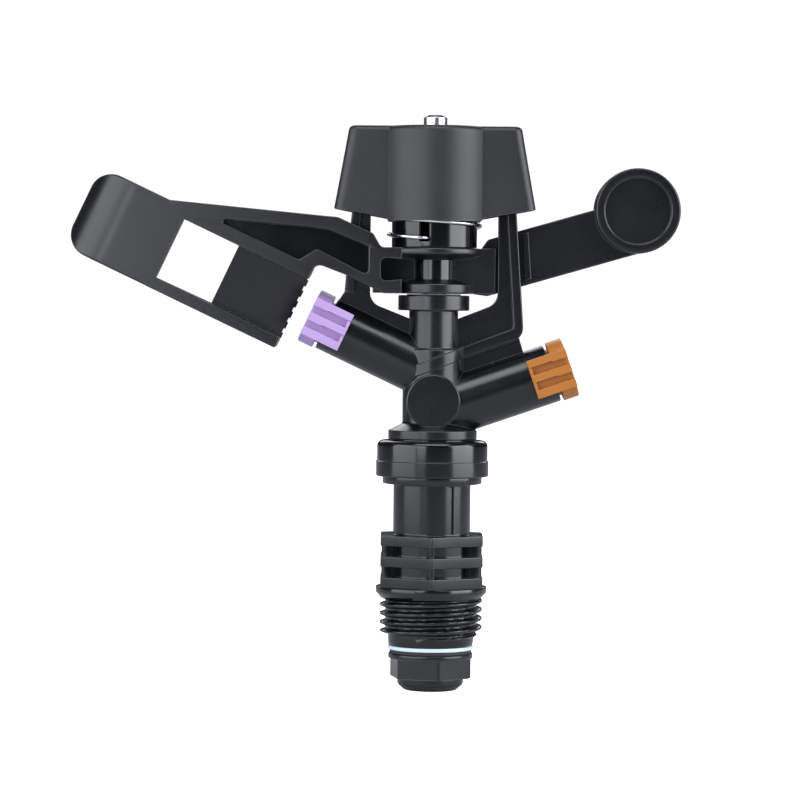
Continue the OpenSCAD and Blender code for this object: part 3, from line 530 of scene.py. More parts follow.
def bar(radius, start, end, edge, origin, outward, upward, around=96):
    """A round bar from start to end along the outward direction, with rounded ends."""
    profile = rounded([(0.0, start), (radius, start), (radius, end), (0.0, end)], [0, edge, edge, 0], 4)
    profile[:, 0] = np.maximum(profile[:, 0], 1e-3)
    return placed(turned(profile, around, closed=False), origin, Y, upward, outward)


def slab(outline, near, far, edge=0.2, holes=()):
    """A plate in the X-Z plane between two depths."""
    return placed(plate(outline, far - near, edge, holes), (0, near, 0), X, Z, Y)


column = rounded(
    [
        (1e-3, collar_bottom - 5.5), (6.83, collar_bottom - 5.5), (6.83, collar_bottom),
        (9.05, collar_bottom), (9.05, collar_top), (8.7, collar_top), (6.2, collar_top + 1.3),
        (6.2, range_z + 5.3), (5.0, range_z + 5.3), (5.0, seat_bottom), (7.25, seat_bottom),
        (7.25, seat_top), (1e-3, seat_top),
    ],
    [0, 0.3, 0, 0.25, 0.25, 0.1, 0.6, 0.4, 0.3, 0.25, 0.25, 0.3, 0],
    5,
)
opening = rounded(
    [
        (-opening_half, crossbar_bottom), (-opening_half, saddle_z + opening_half * saddle_slope),
        (0, saddle_z), (opening_half, saddle_z + opening_half * saddle_slope),
        (opening_half, crossbar_bottom),
    ],
    [0.8, 3, 0, 3, 0.8], 8,
)
brace_low = range_z + 1.0
brace_w = 2.5
knee_z = brace_low + brace_w + upright_foot * brace_slope
inner_foot = upright_foot - 2.0
left_foot = range_z + (upright_foot + 1.7) * math.tan(range_angle)
left_over = left_foot + range_r / math.cos(range_angle)
right_foot = spreader_z + upright_foot * math.tan(spreader_angle)
web = rounded(
    [
        (-upright_top, crossbar_top), (-upright_foot, left_over + 1.3),
        (-upright_foot - 1.7, left_over - 1.2), (-upright_foot - 1.7, left_foot), (0, range_z - 3),
        (upright_foot + 0.2, right_foot),
        (upright_foot + 0.2, right_foot + spreader_r), (upright_foot - 0.8, knee_z - brace_w),
        (upright_foot - 0.8, knee_z), (upright_top - 0.8, crossbar_top),
    ],
    [0, 0.8, 0.6, 0, 0, 0, 0, 0.6, 0, 0], 5,
)
right_rim = rounded(
    [
        (upright_top, crossbar_top), (upright_foot, knee_z),
        (upright_foot, brace_low + upright_foot * brace_slope), (0, brace_low), (0, brace_low + brace_w),
        (inner_foot, brace_low + brace_w + inner_foot * brace_slope), (upright_top - 2.0, crossbar_top),
    ],
    [0, 6, 2.6, 0, 0, 1.2, 0], 6,
)
left_rim = [
    (-upright_top, crossbar_top), (-upright_foot, left_over + 1.3),
    (-inner_foot, left_over + 1.3), (-upright_top + 2.0, crossbar_top),
]
rib_x = np.linspace(-3.6, 6.1, 30)
rib_front = -np.sqrt(6.5**2 - rib_x**2)
rib_low = brace_low + rib_x * brace_slope
rib_high = rib_low + brace_w
tube_rib = skin(np.stack([
    np.stack([rib_x, depth, height], 1)
    for depth, height in (
        (np.full(30, -1.5), rib_low), (rib_front + 0.2, rib_low), (rib_front, rib_low + 0.2),
        (rib_front, rib_high - 0.2), (rib_front + 0.2, rib_high), (np.full(30, -1.5), rib_high),
    )
], 1), False)
crossbar = [
    (-upright_top + 0.4, crossbar_bottom), (upright_top - 0.4, crossbar_bottom),
    (upright_top - 0.4, crossbar_top), (-upright_top + 0.4, crossbar_top),
]
crossbar_boss = rounded(
    [(1e-3, crossbar_bottom), (4.7, crossbar_bottom), (4.7, crossbar_top), (1e-3, crossbar_top)],
    [0, 0.3, 0.3, 0],
)
boss = rounded([(1e-3, -7.1), (5.5, -7.1), (5.5, 7.1), (1e-3, 7.1)], [0, 0.4, 0.4, 0], 5)
body_parts = [
    turned(column, 144, closed=False),
    placed(turned(boss, 120, closed=False), (0, 0, boss_z), X, Z, Y),
    bar(range_r, 0, range_len, 0.2, range_root, range_out, range_up, 120),
    bar(spreader_r, 0, spreader_len, 0.2, spreader_root, spreader_out, spreader_up, 120),
    slab(web, -web_half, web_half, 0.15, [opening]),
    slab(right_rim, -rim_half, rim_half, 0.3),
    slab(left_rim, -rim_half, rim_half, 0.3),
    tube_rib,
    slab(rounded(crossbar, 0.5), -rim_half, rim_half, 0.3),
    turned(crossbar_boss, 96, closed=False),
]
body_cuts = [
    bar(4.2, collar_bottom - 8, range_z, 0, (0, 0, 0), Z, X),
    bar(3.85, 0, range_len + 1, 0, range_root, range_out, range_up),
    bar(range_r - wall, range_len - 7, range_len + 1, 0, range_root, range_out, range_up),
    bar(4.35, 0, spreader_len + 1, 0, spreader_root, spreader_out, spreader_up),
    bar(spreader_r - wall, spreader_len - 7, spreader_len + 1, 0, spreader_root, spreader_out, spreader_up),
    bar(stem_r + 0.03, collar_bottom - 8, collar_bottom + 1, 0, (0, 0, 0), Z, X),
    bar(2.43, seat_top - 9.8, crossbar_top + 1, 0, (0, 0, 0), Z, X, 64),
]
body = moulded("body_moulding", body_parts, body_cuts, satin_black)
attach(body, "head")
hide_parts("sprinkler_body")


# ---- Nozzles ----
# Each nozzle is a coloured moulding pushed into its barrel and held by two springy lugs that snap over
# the barrel's sides. Three ribs on each lug give a grip for pulling it off without a tool.


def nozzle_shapes(barrel_r, orifice_r, origin, outward, upward):
    """A lathe-shaped disc and spigot round the orifice, and two lugs with ribs. The lug's grip ribs widen
    by a small step half way along. Returns the shapes to join, and the room that the barrel takes."""
    def on_barrel(shape, near, flip):
        return placed(shape, np.asarray(origin) + near * flip * Y, outward, upward, flip * Y)

    face, gap, lug_half, lug_back, spigot = 3.9, 0.6, 4.0, 4.4, 6.5
    disc_r, spigot_r, lug_out = barrel_r + 0.2, barrel_r - wall - 0.03, barrel_r + 1.25
    profile = rounded(
        [
            (orifice_r, face - 1.0), (orifice_r + 1.5, face), (disc_r, face), (disc_r, gap), (spigot_r, gap),
            (spigot_r, -2.9), (spigot_r - 1.0, -2.9), (spigot_r - 1.0, -4.4), (spigot_r, -4.4),
            (spigot_r, -spigot), (spigot_r - 1.0, -spigot), (orifice_r, -0.5),
        ],
        [0.1, 0.3, 0.35, 0.2, 0, 0.1, 0.1, 0.1, 0.1, 0.2, 0.2, 0.3],
    )
    shapes = [placed(turned(profile, 120), origin, Y, upward, outward)]
    rib_half, lug_in, groove_depth = 0.86, 3.2, 1.15
    for flip in (-1, 1):
        lug = [(-lug_back, -lug_half), (face, -lug_half), (face, lug_half), (-lug_back, lug_half)]
        lug_plate = plate(rounded(lug, 0.25), lug_out - lug_in - groove_depth, 0.15)
        shapes.append(on_barrel(lug_plate, lug_in, flip))
        for middle in (-lug_half + rib_half, 0.0, lug_half - rib_half):
            step = 0.22 if middle > -1 else 0.0
            rib = [
                (-lug_back, middle - rib_half + step), (0.6, middle - rib_half + step),
                (0.6, middle - rib_half), (face, middle - rib_half), (face, middle + rib_half),
                (-lug_back, middle + rib_half),
            ]
            rib = rib if step else [rib[0], *rib[3:]]
            shapes.append(on_barrel(plate(rib, 1.5, 0.12), lug_out - 1.5, flip))
        end_wall = [(-lug_back, -lug_half), (-lug_back + 0.6, -lug_half), (-lug_back + 0.6, lug_half),
                    (-lug_back, lug_half)]
        shapes.append(on_barrel(plate(end_wall, 1.3, 0.12), lug_out - 1.5, flip))
    clear = rounded(
        [
            (spigot_r, -lug_back - 1), (barrel_r + 0.03, -lug_back - 1), (barrel_r + 0.03, gap),
            (spigot_r, gap),
        ],
        0,
    )
    return shapes, placed(turned(clear, 120), origin, Y, upward, outward)


def nozzle(name, barrel_r, orifice_r, origin, outward, upward, material):
    """The disc, spigot and lugs as one moulding. The lugs are cleared of the barrel first, so that the
    cut leaves the spigot whole."""
    shapes, clearance = nozzle_shapes(barrel_r, orifice_r, origin, outward, upward)
    inside = bar(barrel_r - wall - 0.5, -8, 3.0, 0, origin, outward, upward)
    grips = moulded(name + "_grips", shapes[1:], [clearance, inside], material)
    return moulded(name, [shapes[0], grips], [], material)


purple = plastic("purple_nozzle_plastic", (0.35, 0.225, 0.47), 0.42, 0.14, 0.006, painted_edge_highlight=0.2, drift=0.04)
orange = plastic("orange_nozzle_plastic", (0.33, 0.110, 0.014), 0.40, 0.14, 0.006, painted_edge_highlight=0.12, drift=0.05)
range_mouth = np.array(range_root) + range_len * range_out
spreader_mouth = np.array(spreader_root) + spreader_len * spreader_out
range_jet = nozzle("range_nozzle_moulding", range_r, 1.8, range_mouth, range_out, range_up, purple)
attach(range_jet, "head")
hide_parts("range_nozzle")
spreader_jet = nozzle(
    "spreader_nozzle_moulding", spreader_r, 1.2, spreader_mouth, spreader_out, spreader_up, orange
)
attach(spreader_jet, "head")
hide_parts("spreader_nozzle")


# ---- Fulcrum pin ----
# A stainless pin pressed through the cap and the crossbar into the post. The arm turns on it. Turned
# from drawn bar, with chamfered ends.

pin_low, pin_high = (np.array(corner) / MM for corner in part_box("fulcrum_pin"))


def steel(name, roughness, stretch):
    """Drawn stainless: fine lines along the drawing direction, from noise stretched by the factors in
    stretch, vary the roughness and the height; a faint warm and cool drift tints it."""
    material, tree, shader, node = finish_tree(name, (0.62, 0.61, 0.59), 1.0, 1.5)
    place = node("TexCoord").outputs["Object"]
    skew = node("Mapping", {"Vector": place}, Scale=stretch)
    lines = node("TexNoise", {"Vector": skew.outputs[0]}, Scale=1.0, Detail=4.0, Roughness=0.6)
    cloud = node("TexNoise", {"Vector": place}, Scale=420.0, Detail=2.0)
    tone = node("MixRGB", {0: cloud.outputs[0]})
    tone.inputs[1].default_value = (0.54, 0.55, 0.56, 1)
    tone.inputs[2].default_value = (0.72, 0.70, 0.67, 1)
    tree.links.new(tone.outputs[0], shader.inputs["Base Color"])
    gloss = node("MapRange", {0: lines.outputs[0]})
    gloss.inputs[3].default_value = roughness - 0.1
    gloss.inputs[4].default_value = roughness + 0.12
    tree.links.new(gloss.outputs[0], shader.inputs["Roughness"])
    relief = node("Bump", {"Height": lines.outputs[0]}, Strength=0.25, Distance=0.01 * MM)
    tree.links.new(relief.outputs[0], shader.inputs["Normal"])
    return material


pin_steel = steel("turned_stainless", 0.27, (900.0, 900.0, 9000.0))
pin_profile = rounded(
    [(1e-3, pin_low[2]), (1.9, pin_low[2]), (2.4, pin_low[2] + 0.5), (2.4, pin_high[2] - 0.5),
     (1.9, pin_high[2]), (1e-3, pin_high[2])],
    [0, 0.15, 0.2, 0.2, 0.15, 0], 3,
)
pin = moulded("pin_turning", [turned(pin_profile, 72, closed=False)], [], pin_steel)
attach(pin, "head")
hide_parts("fulcrum_pin")


# ---- Arm washer ----
# A thin white ring between the post and the arm's hub.

seat_low, seat_high = (np.array(corner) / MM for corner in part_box("arm_washer"))
seat_ring = rounded([(2.46, seat_low[2]), (seat_high[0], seat_low[2]), (seat_high[0], seat_high[2]),
                     (2.46, seat_high[2])], 0.1, 3)
arm_seat = moulded("arm_seat_ring", [turned(seat_ring, 96)], [], white_ring_finish)
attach(arm_seat, "head")
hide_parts("arm_washer")


# ---- Weather cap ----
# A hollow matte cover over the crossbar and the arm's spring. Two flat wings spread a little towards
# the rim, which dips to a round middle. Moulded with a coarse spark-eroded grain that kills its shine.

cap_low, cap_high = (np.array(corner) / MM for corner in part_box("weather_cap"))
cap_half_top, cap_half_rim = 17.6, cap_high[0]
cap_side, cap_round, cap_wall = 6.6, cap_high[1], 1.5
cap_mid_z = cap_low[2]
cap_rim_z = cap_mid_z + 2.5
matte_black = plastic("matte_black_cap", (0.0085, 0.0089, 0.0103), 0.46, 0.20, 0.04, painted_edge_highlight=0.4)


def cap_outline(half, inset):
    """Plan of the cap: a rectangle and a circle joined, every point moved in by inset. Point k is the
    same feature at every height, so that outlines of different widths can be lofted."""
    side, radius, wing = cap_side - inset, cap_round - inset, half - inset
    cheek = math.acos(math.sqrt(radius**2 - side**2) / radius)
    arc = np.linspace(cheek, math.pi - cheek, 25)
    corner = 1.8 * (1 - min(inset, 1.0) * 0.5)
    quarter = np.linspace(0, math.pi / 2, 6)
    bend = corner * np.stack([np.cos(quarter), np.sin(quarter)], 1)
    right_back = bend + (wing - corner, side - corner)
    flat_x = np.linspace(wing - corner, radius * math.cos(cheek) + 0.35, 8)[1:]
    flat_back = np.stack([flat_x, np.full(7, side)], 1)
    middle = radius * np.stack([np.cos(arc), np.sin(arc)], 1)
    half_way = np.concatenate([right_back, flat_back, middle, (flat_back * (-1, 1))[::-1],
                               (right_back * (-1, 1))[::-1]])
    return np.concatenate([half_way, -half_way])


def cap_rim(plan):
    """Height of the rim over a plan: it falls from the ends towards the middle, and the round part of
    the cap reaches a step lower."""
    reach = np.abs(plan[:, 0])
    return cap_rim_z - 2.1 * np.clip((cap_half_rim - reach) / (cap_half_rim - 8.7), 0, 1)


def cap_shape():
    """The shell as rings: a pin hole, the top out to a rounded shoulder, down the outside to the rim,
    up the inside and back along the roof to the hole."""
    rings = []
    top, roof, hole = cap_high[2], cap_high[2] - cap_wall, 2.45
    shoulder = 1.1
    top_plan = cap_outline(cap_half_top, 0)
    plan_angle = np.arctan2(top_plan[:, 1], top_plan[:, 0])
    hole_plan = hole * np.stack([np.cos(plan_angle), np.sin(plan_angle)], 1)

    def ring_at(plan, height):
        rings.append(np.column_stack([plan, np.broadcast_to(height, len(plan))]))

    ring_at(hole_plan, top)
    for share in (0.0, 0.25, 0.5, 0.75, 1.0):
        q = share * math.pi / 2
        ring_at(cap_outline(cap_half_top, shoulder * (1 - math.sin(q))), top - shoulder * (1 - math.cos(q)))
    is_middle = np.zeros(len(top_plan), bool)
    half_count = len(top_plan) // 2
    is_middle[13:38] = True
    is_middle[half_count + 13 : half_count + 38] = True
    for share in (0.02, 0.25, 0.5, 0.75, 0.97, 1.0):
        plan = cap_outline(cap_half_top + (cap_half_rim - cap_half_top) * share, 0)
        rim = np.where(is_middle, cap_mid_z, cap_rim(plan))
        ring_at(plan, (top - shoulder) + (rim - (top - shoulder)) * share)
    for inset, lift in ((0.25, 0.0), (cap_wall - 0.2, 0.0), (cap_wall, 0.2)):
        plan = cap_outline(cap_half_rim, inset)
        rim = np.where(is_middle, cap_mid_z, cap_rim(plan))
        ring_at(plan, rim + lift)
    for share in (0.5, 1.0):
        plan = cap_outline(cap_half_rim + (cap_half_top - cap_half_rim) * share, cap_wall)
        rim = np.where(is_middle, cap_mid_z, cap_rim(plan))
        ring_at(plan, rim + (roof - rim) * share)
    ring_at(hole_plan, roof)
    return skin(np.array(rings), True)


cap = moulded("cap_moulding", [cap_shape()], [], matte_black, 30)
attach(cap, "head")
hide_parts("weather_cap")


# ---- Arm bearing ----
# A glossy sleeve pressed through the arm's hub, which turns on the pin. The drum on its top carries the
# arm spring, whose end sits in a notch at the front.

bearing_low, bearing_high = (np.array(corner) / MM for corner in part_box("arm_bearing"))
arm_z = bearing_low[2]
hub_z = arm_z + 9.3
drum_r = bearing_high[0]
drum_top = hub_z + 5.5
drum_floor = hub_z + 1.2
bearing_profile = rounded(
    [
        (2.46, arm_z), (4.05, arm_z), (4.05, hub_z + 0.03), (drum_r, hub_z + 0.03), (drum_r, drum_top),
        (drum_r - 1.4, drum_top), (drum_r - 1.4, drum_floor), (4.05, drum_floor), (4.05, bearing_high[2]),
        (2.46, bearing_high[2]),
    ],
    [0.1, 0.1, 0, 0.2, 0.25, 0.25, 0.3, 0.3, 0.25, 0.1],
)
notch_face = [(-1.2, 0), (1.2, 0), (1.2, drum_top), (-1.2, drum_top)]
notch = placed(plate(notch_face, 3, 0), (-2, -drum_r - 1, drum_floor), X, Z, Y)
bearing_parts = [turned(bearing_profile, 144)]
for angle in np.radians([45, 135, 225, 315]):
    outward = np.array([math.cos(angle), math.sin(angle), 0])
    spoke = plate([(-0.5, 3.5), (0.5, 3.5), (0.5, drum_r - 1.0), (-0.5, drum_r - 1.0)], 3.0, 0.1)
    bearing_parts.append(placed(spoke, (0, 0, drum_floor - 0.2), np.cross(outward, Z), outward, Z))
bearing = moulded("bearing_moulding", bearing_parts, [notch], gloss_black)
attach(bearing, "arm")
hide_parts("arm_bearing")


# ---- Impact arm ----
# One moulding: the vane and spoon that the jet strikes, a pocketed truss, two hub discs, and a flat tail
# with a round counterweight. Satin acetal with a fine even grain; wider flat faces look a little paler.

arm_front = 7.5
arm_back = 2.95
nozzle_gap, nozzle_disc_t, vane_gap = 0.6, 3.3, 3.35
vane_start = range_len + nozzle_gap + nozzle_disc_t + vane_gap
window_start = vane_start + 15.8
window_end = window_start + 12.4
spoon_end = window_end + 19.95
half_w = 6.5
low_rail, top_rail = 2.45, 2.7
spoon_t = 1.6
arm_black = plastic("grained_black_acetal", (0.0032, 0.0038, 0.0048), 0.29, 0.18, 0.022, painted_edge_highlight=0.8,
                    sheltered=0.18)


def jet(along, across):
    """The point at a distance along the jet and across it, in X and Z."""
    point = np.array(range_root) + along * range_out + across * range_up
    return point[0], point[2]


def by_jet(shape, across=0.0):
    """A shape drawn as (along the jet, depth, across the jet), raised across it."""
    return placed(shape, np.array(range_root) + across * range_up, range_out, Y, range_up)


truss_outline = rounded(
    [
        jet(window_end, half_w), jet(window_end + 3.8, half_w + 2.25), (-22.0, hub_z + 6.2),
        (-19.6, hub_z + 6.0), (-12.4, hub_z + 2.8), (-10.8, hub_z), (-6.6, hub_z), (-6.6, arm_z),
        (-10.4, arm_z), (-17.0, arm_z + 3.3), (-23.9, arm_z + 5.9), jet(vane_start, half_w),
    ],
    [0, 0, 2, 2, 1.6, 1.2, 0, 0, 2, 2, 1.6, 0], 6,
)
truss_pocket = rounded(
    [
        jet(window_end - 5.6, half_w + top_rail), (-25.2, hub_z + 4.0), (-21.4, hub_z + 3.5),
        (-13.3, hub_z + 0.2), (-13.3, arm_z + 3.5), (-23.8, arm_z + 8.8),
        jet(vane_start + 3.3, half_w + top_rail),
    ],
    [0.5, 3, 2, 0.8, 0.8, 0.8, 0.8], 5,
)
hub_pocket = rounded(
    [(-10.9, hub_z - 2.0), (-5.0, hub_z - 2.4), (-5.0, arm_z + 3.0), (-10.9, arm_z + 2.4)],
    [1.2, 0, 0, 1.2], 5,
)
wall_profile = rounded(
    [
        (vane_start, -arm_front), (window_end + 1, -arm_front), (window_end + 1, -arm_front + spoon_t),
        (window_start, 2.1), (vane_start, 6.1),
    ],
    [0.5, 0, 0, 1, 0.5],
)
vane_floor = [(vane_start, 5.0), (window_start, 1.0), (window_start, 2.1), (vane_start, 6.1)]


def spoon_shape():
    """The spoon as rings round its section. The section's middle line runs straight from the window,
    then turns through a quarter circle; each half width follows the rounded corners of its end, and
    the edge is a half round as thick as the sheet."""
    curl = 9.4
    mid_r = curl - spoon_t / 2
    flat_end = spoon_end - curl
    low, high, corner = -half_w - low_rail, half_w + 2.3, 4.8
    straight = np.linspace(window_end - 0.6, flat_end, 12)[:-1]
    turn = np.linspace(0, math.pi / 2, 26)
    along = np.concatenate([straight, flat_end + mid_r * np.sin(turn)])
    depth = np.concatenate([np.full(11, 0.0), mid_r * (1 - np.cos(turn))]) - arm_front + spoon_t / 2
    tilt = np.concatenate([np.zeros(11), turn])
    outermost = along + spoon_t / 2 * np.sin(tilt)
    short = np.clip((outermost - (spoon_end - corner)) / corner, 0, 0.995)
    trim = corner * (1 - np.sqrt(1 - short**2))
    lower, upper = low + trim, high - trim
    q = np.linspace(0, math.pi, 9)
    half_t = spoon_t / 2
    edge = 0.45
    around = []
    for side, rim in ((1, upper), (-1, lower)):
        for bend_angle in q:
            thick = half_t * math.cos(bend_angle) * side
            reach = rim + side * (edge * math.sin(bend_angle) - edge)
            around.append(np.stack([along - thick * np.sin(tilt), depth - thick * -np.cos(tilt), reach], 1))
    rows = np.stack(around, 1)
    return skin(rows, False)


teeth = []
for row in range(6):
    middle = -half_w + 1.2 * (2 * row + 1.0)
    scallop = plate([(vane_start - 0.6, middle - 0.55), (vane_start + 0.35, middle - 0.45),
                     (vane_start + 0.35, middle + 0.45), (vane_start - 0.6, middle + 0.55)], 16, 0)
    teeth.append(placed(scallop, np.array(range_root) + 3.0 * Y, range_out, range_up, Y))

tail_slope = math.tan(math.radians(16.25))
weight_x, weight_z, weight_r = 41.5, arm_z + 17.3, 8.7
root_x = 11.0
foot_z = weight_z - weight_r - (weight_x - root_x) * tail_slope - 0.1
tail_w = 11.1 / math.cos(math.radians(16.25))
weight_mid = arm_back + 1.35
tail = rounded(
    [
        (root_x - 3, arm_z), (root_x, foot_z), (weight_x, foot_z + (weight_x - root_x) * tail_slope),
        (weight_x, foot_z + (weight_x - root_x) * tail_slope + tail_w), (root_x, foot_z + tail_w),
        (root_x - 1.3, hub_z),
    ],
    [0, 1, 0, 0, 1, 0],
)
pad = [
    (18.55, foot_z + 1.2 + 7.1 * tail_slope), (19.9, foot_z + 1.2 + 8.4 * tail_slope),
    (19.2, foot_z + 10.9 + 7.7 * tail_slope), (18.1, foot_z + 10.9 + 6.4 * tail_slope),
]
weight_profile = rounded(
    [(1e-3, -4.5 + 0.7), (6.8, -4.5 + 0.7), (6.8, -4.5), (weight_r, -4.5), (weight_r, 4.5), (6.8, 4.5),
     (6.8, -1.8), (1e-3, -1.8)],
    [0, 0.15, 0.25, 0.4, 0.4, 0.25, 0.2, 0], 4,
)
low_disc = rounded(
    [(1e-3, arm_z), (8.0, arm_z), (8.0, arm_z + 2.0), (4.4, arm_z + 2.9), (1e-3, arm_z + 3.1)],
    [0, 0.35, 0.5, 2, 0],
)
top_disc = rounded(
    [(1e-3, hub_z - 2.6), (5.4, hub_z - 2.4), (10.0, hub_z - 1.35), (10.0, hub_z), (1e-3, hub_z)],
    [0, 2, 0.4, 0.5, 0],
)
hub_side = 12.5
hub_web = [
    (-hub_side, arm_z + 0.1), (hub_side, arm_z + 0.1), (hub_side, hub_z - 0.1),
    (-hub_side, hub_z - 0.1),
]
hub_end = [(-hub_side, arm_z + 0.6), (-10.9, arm_z + 0.6), (-10.9, hub_z), (-hub_side, hub_z)]
tail_post = [(9.7, arm_z), (hub_side, arm_z), (hub_side, hub_z), (9.7, hub_z)]
arm_parts = [
    slab(truss_outline, -arm_front, -arm_back, 0.25, [truss_pocket]),
    slab(truss_outline, -arm_back - 1.2, -arm_back, 0.1),
    by_jet(plate(wall_profile, low_rail, 0.22), -half_w - low_rail),
    by_jet(plate(wall_profile, top_rail, 0.22), half_w),
    by_jet(plate(vane_floor, 2 * half_w + 0.6, 0.1), -half_w - 0.3),
    by_jet(spoon_shape()),
    turned(low_disc, 120, closed=False),
    turned(top_disc, 144, closed=False),
    slab(hub_web, -0.9, 0.9, 0.2),
    slab(hub_end, -arm_back - 1.2, 0.9, 0.2),
    slab(tail_post, -0.9, arm_back + 2.7, 0.25),
    slab(tail, arm_back, arm_back + 2.7, 0.3),
    slab(pad, arm_back - 0.9, arm_back + 0.5, 0.15),
    placed(turned(weight_profile, 144, closed=False), (weight_x, weight_mid, weight_z), X, Z, Y),
]
arm_cuts = teeth + [
    slab(hub_pocket, -arm_front - 1, -arm_back + 0.05, 0.0),
    bar(4.08, arm_z - 1, hub_z + 1, 0, (0, 0, 0), Z, X),
]
arm = moulded("arm_moulding", arm_parts, arm_cuts, arm_black)
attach(arm, "arm")
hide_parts("impact_arm")


# ---- Arm spring ----
# Left-hand torsion spring of stainless wire. Its lower end is bent into the drum's notch and turns with
# the arm; its upper end is held under the cap, so it winds up as the arm swings.

spring_low, spring_high = (np.array(corner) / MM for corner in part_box("arm_spring"))
wire_r = 0.44
spring_r = spring_high[0] - wire_r
spring_bottom = spring_low[2] + wire_r
spring_top = spring_high[2] - wire_r


def wire(path, radius, sides=12):
    """A round wire along a path. At each point the section lies across the tangent, in the plane of the
    outward direction from the Z axis and its cross product with the tangent."""
    ahead = np.gradient(path, axis=0)
    ahead /= np.linalg.norm(ahead, axis=1, keepdims=True)
    out = path * (1, 1, 0)
    out -= (out * ahead).sum(1, keepdims=True) * ahead
    out /= np.linalg.norm(out, axis=1, keepdims=True)
    over = np.cross(ahead, out)
    angle = np.linspace(0, 2 * math.pi, sides, endpoint=False)[None, :, None]
    rows = path[:, None] + radius * (np.cos(angle) * out[:, None] + np.sin(angle) * over[:, None])
    return skin(rows, False)


turns = 3.25
share = np.linspace(0, 1, 300)
coil_angle = math.radians(-100) - 2 * math.pi * turns * share
hook = np.clip(1 - share * turns * 360 / 14, 0, 1)
coil_r = spring_r - 1.5 * hook**2
coil_z = spring_bottom + (spring_top - spring_bottom) * share
coil_path = np.stack([coil_r * np.cos(coil_angle), coil_r * np.sin(coil_angle), coil_z], 1)
spring_steel = steel("drawn_spring_wire", 0.22, (2500.0, 2500.0, 700.0))
spring = moulded("spring_winding", [wire(coil_path, wire_r)], [], spring_steel, 60)
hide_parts("arm_spring")
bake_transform(spring)


# ---- Counterweight slug ----
# A turned steel disc pressed into the back of the counterweight.

slug_low, slug_high = (np.array(corner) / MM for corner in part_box("counterweight_slug"))
slug_r = (slug_high[0] - slug_low[0]) / 2
slug_len = slug_high[1] - slug_low[1]
slug_profile = rounded([(1e-3, 0), (slug_r, 0), (slug_r, slug_len), (1.5, slug_len), (0.8, slug_len - 0.5),
                        (1e-3, slug_len - 0.5)], [0, 0.3, 0.4, 0.1, 0.1, 0], 3)
slug_shape = placed(turned(slug_profile, 96, closed=False), (weight_x, slug_low[1], weight_z), X, Z, Y)
slug = moulded("slug_turning", [slug_shape], [], pin_steel)
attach(slug, "arm")
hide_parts("counterweight_slug")


# ---- Hidden pieces ----
# The seals, the thrust spring and its washer, the stream straightener and the spring's retainer keep
# their CAD shapes and take the finish of what they are made of.

hidden_finishes = {
    "stem_o_ring": rubber,
    "range_o_ring": rubber,
    "spreader_o_ring": rubber,
    "thrust_spring": spring_steel,
    "spring_washer": pin_steel,
    "stream_straightener": white_ring_finish,
    "spring_retainer": gloss_black,
}
for node_name, material in hidden_finishes.items():
    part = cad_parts[node_name]
    part.data.materials.clear()
    part.data.materials.append(material)


# ---- Floor, lights and camera ----
# A plain floor under an even surround. Both are pure white only where the camera sees them directly, and
# dimmer in reflections. Two tall soft boxes stand left and right of the camera, with a dark gap between
# them. Weaker ones light the top and the back, and a small one stands close, left of the camera.

floor_mesh = bpy.data.meshes.new("floor")
reach = 6.0
floor_z = cad_size[0][2] - 0.00005
floor_mesh.from_pydata([(-reach, -reach, floor_z), (reach, -reach, floor_z), (reach, reach, floor_z),
                        (-reach, reach, floor_z)], [], [(0, 1, 2, 3)])
floor = bpy.data.objects.new("floor", floor_mesh)
bpy.context.scene.collection.objects.link(floor)
floor_finish, floor_tree, floor_shader, floor_node = finish_tree("white_floor", (0.86, 0.86, 0.86), 0.0, 1.45)
floor_shader.inputs["Roughness"].default_value = 0.9
floor_shader.inputs["Emission Color"].default_value = (1, 1, 1, 1)
seen_kind = floor_node("LightPath")
glow = floor_node("MapRange", {0: seen_kind.outputs["Is Camera Ray"]})
glow.inputs[3].default_value = 0.10
glow.inputs[4].default_value = 1.2
floor_tree.links.new(glow.outputs[0], floor_shader.inputs["Emission Strength"])
mottle = floor_node("TexNoise", {"Vector": floor_node("TexCoord").outputs["Object"]}, Scale=3.0)
floor_tone = floor_node("MixRGB", {0: mottle.outputs[0]})
floor_tone.inputs[1].default_value = (0.84, 0.84, 0.84, 1)
floor_tone.inputs[2].default_value = (0.88, 0.88, 0.88, 1)
dimmed = floor_node("MixRGB", {0: seen_kind.outputs["Is Camera Ray"], 2: floor_tone.outputs[0]})
dimmed.inputs[1].default_value = (0.46, 0.47, 0.49, 1)
floor_tree.links.new(dimmed.outputs[0], floor_shader.inputs["Base Color"])
floor_mesh.materials.append(floor_finish)

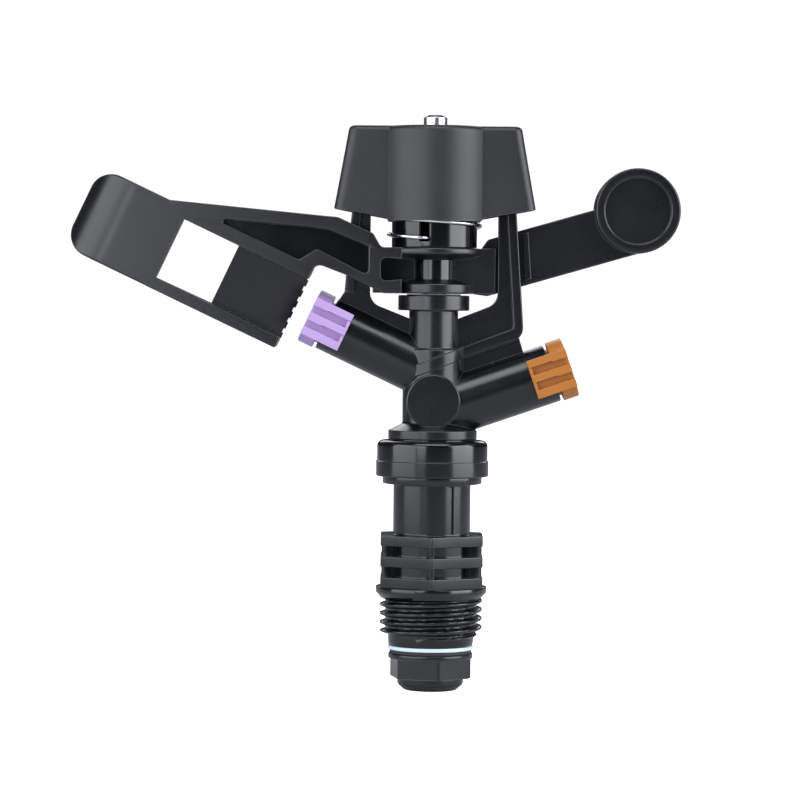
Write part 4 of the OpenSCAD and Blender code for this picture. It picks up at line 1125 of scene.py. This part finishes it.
world = bpy.data.worlds.new("surround")
world.use_nodes = True
bpy.context.scene.world = world
sky = world.node_tree
behind = sky.nodes["Background"]
behind.inputs[0].default_value = (0.78, 0.90, 1.0, 1)
behind.inputs[1].default_value = 0.06
seen = sky.nodes.new("ShaderNodeBackground")
seen.inputs[0].default_value = (1, 1, 1, 1)
seen.inputs[1].default_value = 1.05
path_kind = sky.nodes.new("ShaderNodeLightPath")
either = sky.nodes.new("ShaderNodeMixShader")
sky.links.new(path_kind.outputs["Is Camera Ray"], either.inputs[0])
sky.links.new(behind.outputs[0], either.inputs[1])
sky.links.new(seen.outputs[0], either.inputs[2])
sky.links.new(either.outputs[0], sky.nodes["World Output"].inputs[0])

middle = Vector((0, 0, 0.05))


def soft_box(name, azimuth, elevation, distance, width, height, power):
    """A rectangular soft box aimed at the object's middle; azimuth is measured from the camera's side."""
    light = bpy.data.lights.new(name, "AREA")
    light.shape = "RECTANGLE"
    light.size = width
    light.size_y = height
    light.energy = power
    light.color = (0.93, 0.97, 1.0)
    lamp = bpy.data.objects.new(name, light)
    a, e = math.radians(azimuth), math.radians(elevation)
    offset = Vector((math.sin(a) * math.cos(e), -math.cos(a) * math.cos(e), math.sin(e)))
    lamp.location = middle + distance * offset
    lamp.rotation_euler = (-offset).to_track_quat("-Z", "Y").to_euler()
    bpy.context.scene.collection.objects.link(lamp)


soft_box("left_box", -62, 6, 0.80, 0.84, 1.0, 10.2)
soft_box("right_box", 67, 6, 0.80, 0.76, 1.0, 15.0)
soft_box("top_box", 0, 62, 0.9, 0.9, 0.4, 6.5)
soft_box("near_box", -23, 10, 0.38, 0.12, 0.20, 0.36)
soft_box("back_box", 180, 30, 1.4, 1.2, 0.8, 7.0)

camera_data = bpy.data.cameras.new("camera")
camera_data.sensor_width = 36.0
camera_data.lens = 150.0
camera_data.clip_start = 0.01
camera = bpy.data.objects.new("camera", camera_data)
camera.location = (-0.0067, -0.680, 0.0605)
aim = Vector((-0.0067, 0.0, 0.0401))
roll = math.radians(0.55)
look = (aim - camera.location).to_track_quat("-Z", "Y").to_matrix()
camera.rotation_euler = (look @ Matrix.Rotation(roll, 3, "Z")).to_euler()
bpy.context.scene.collection.objects.link(camera)
bpy.context.scene.camera = camera
bpy.context.scene.view_settings.view_transform = "Standard"
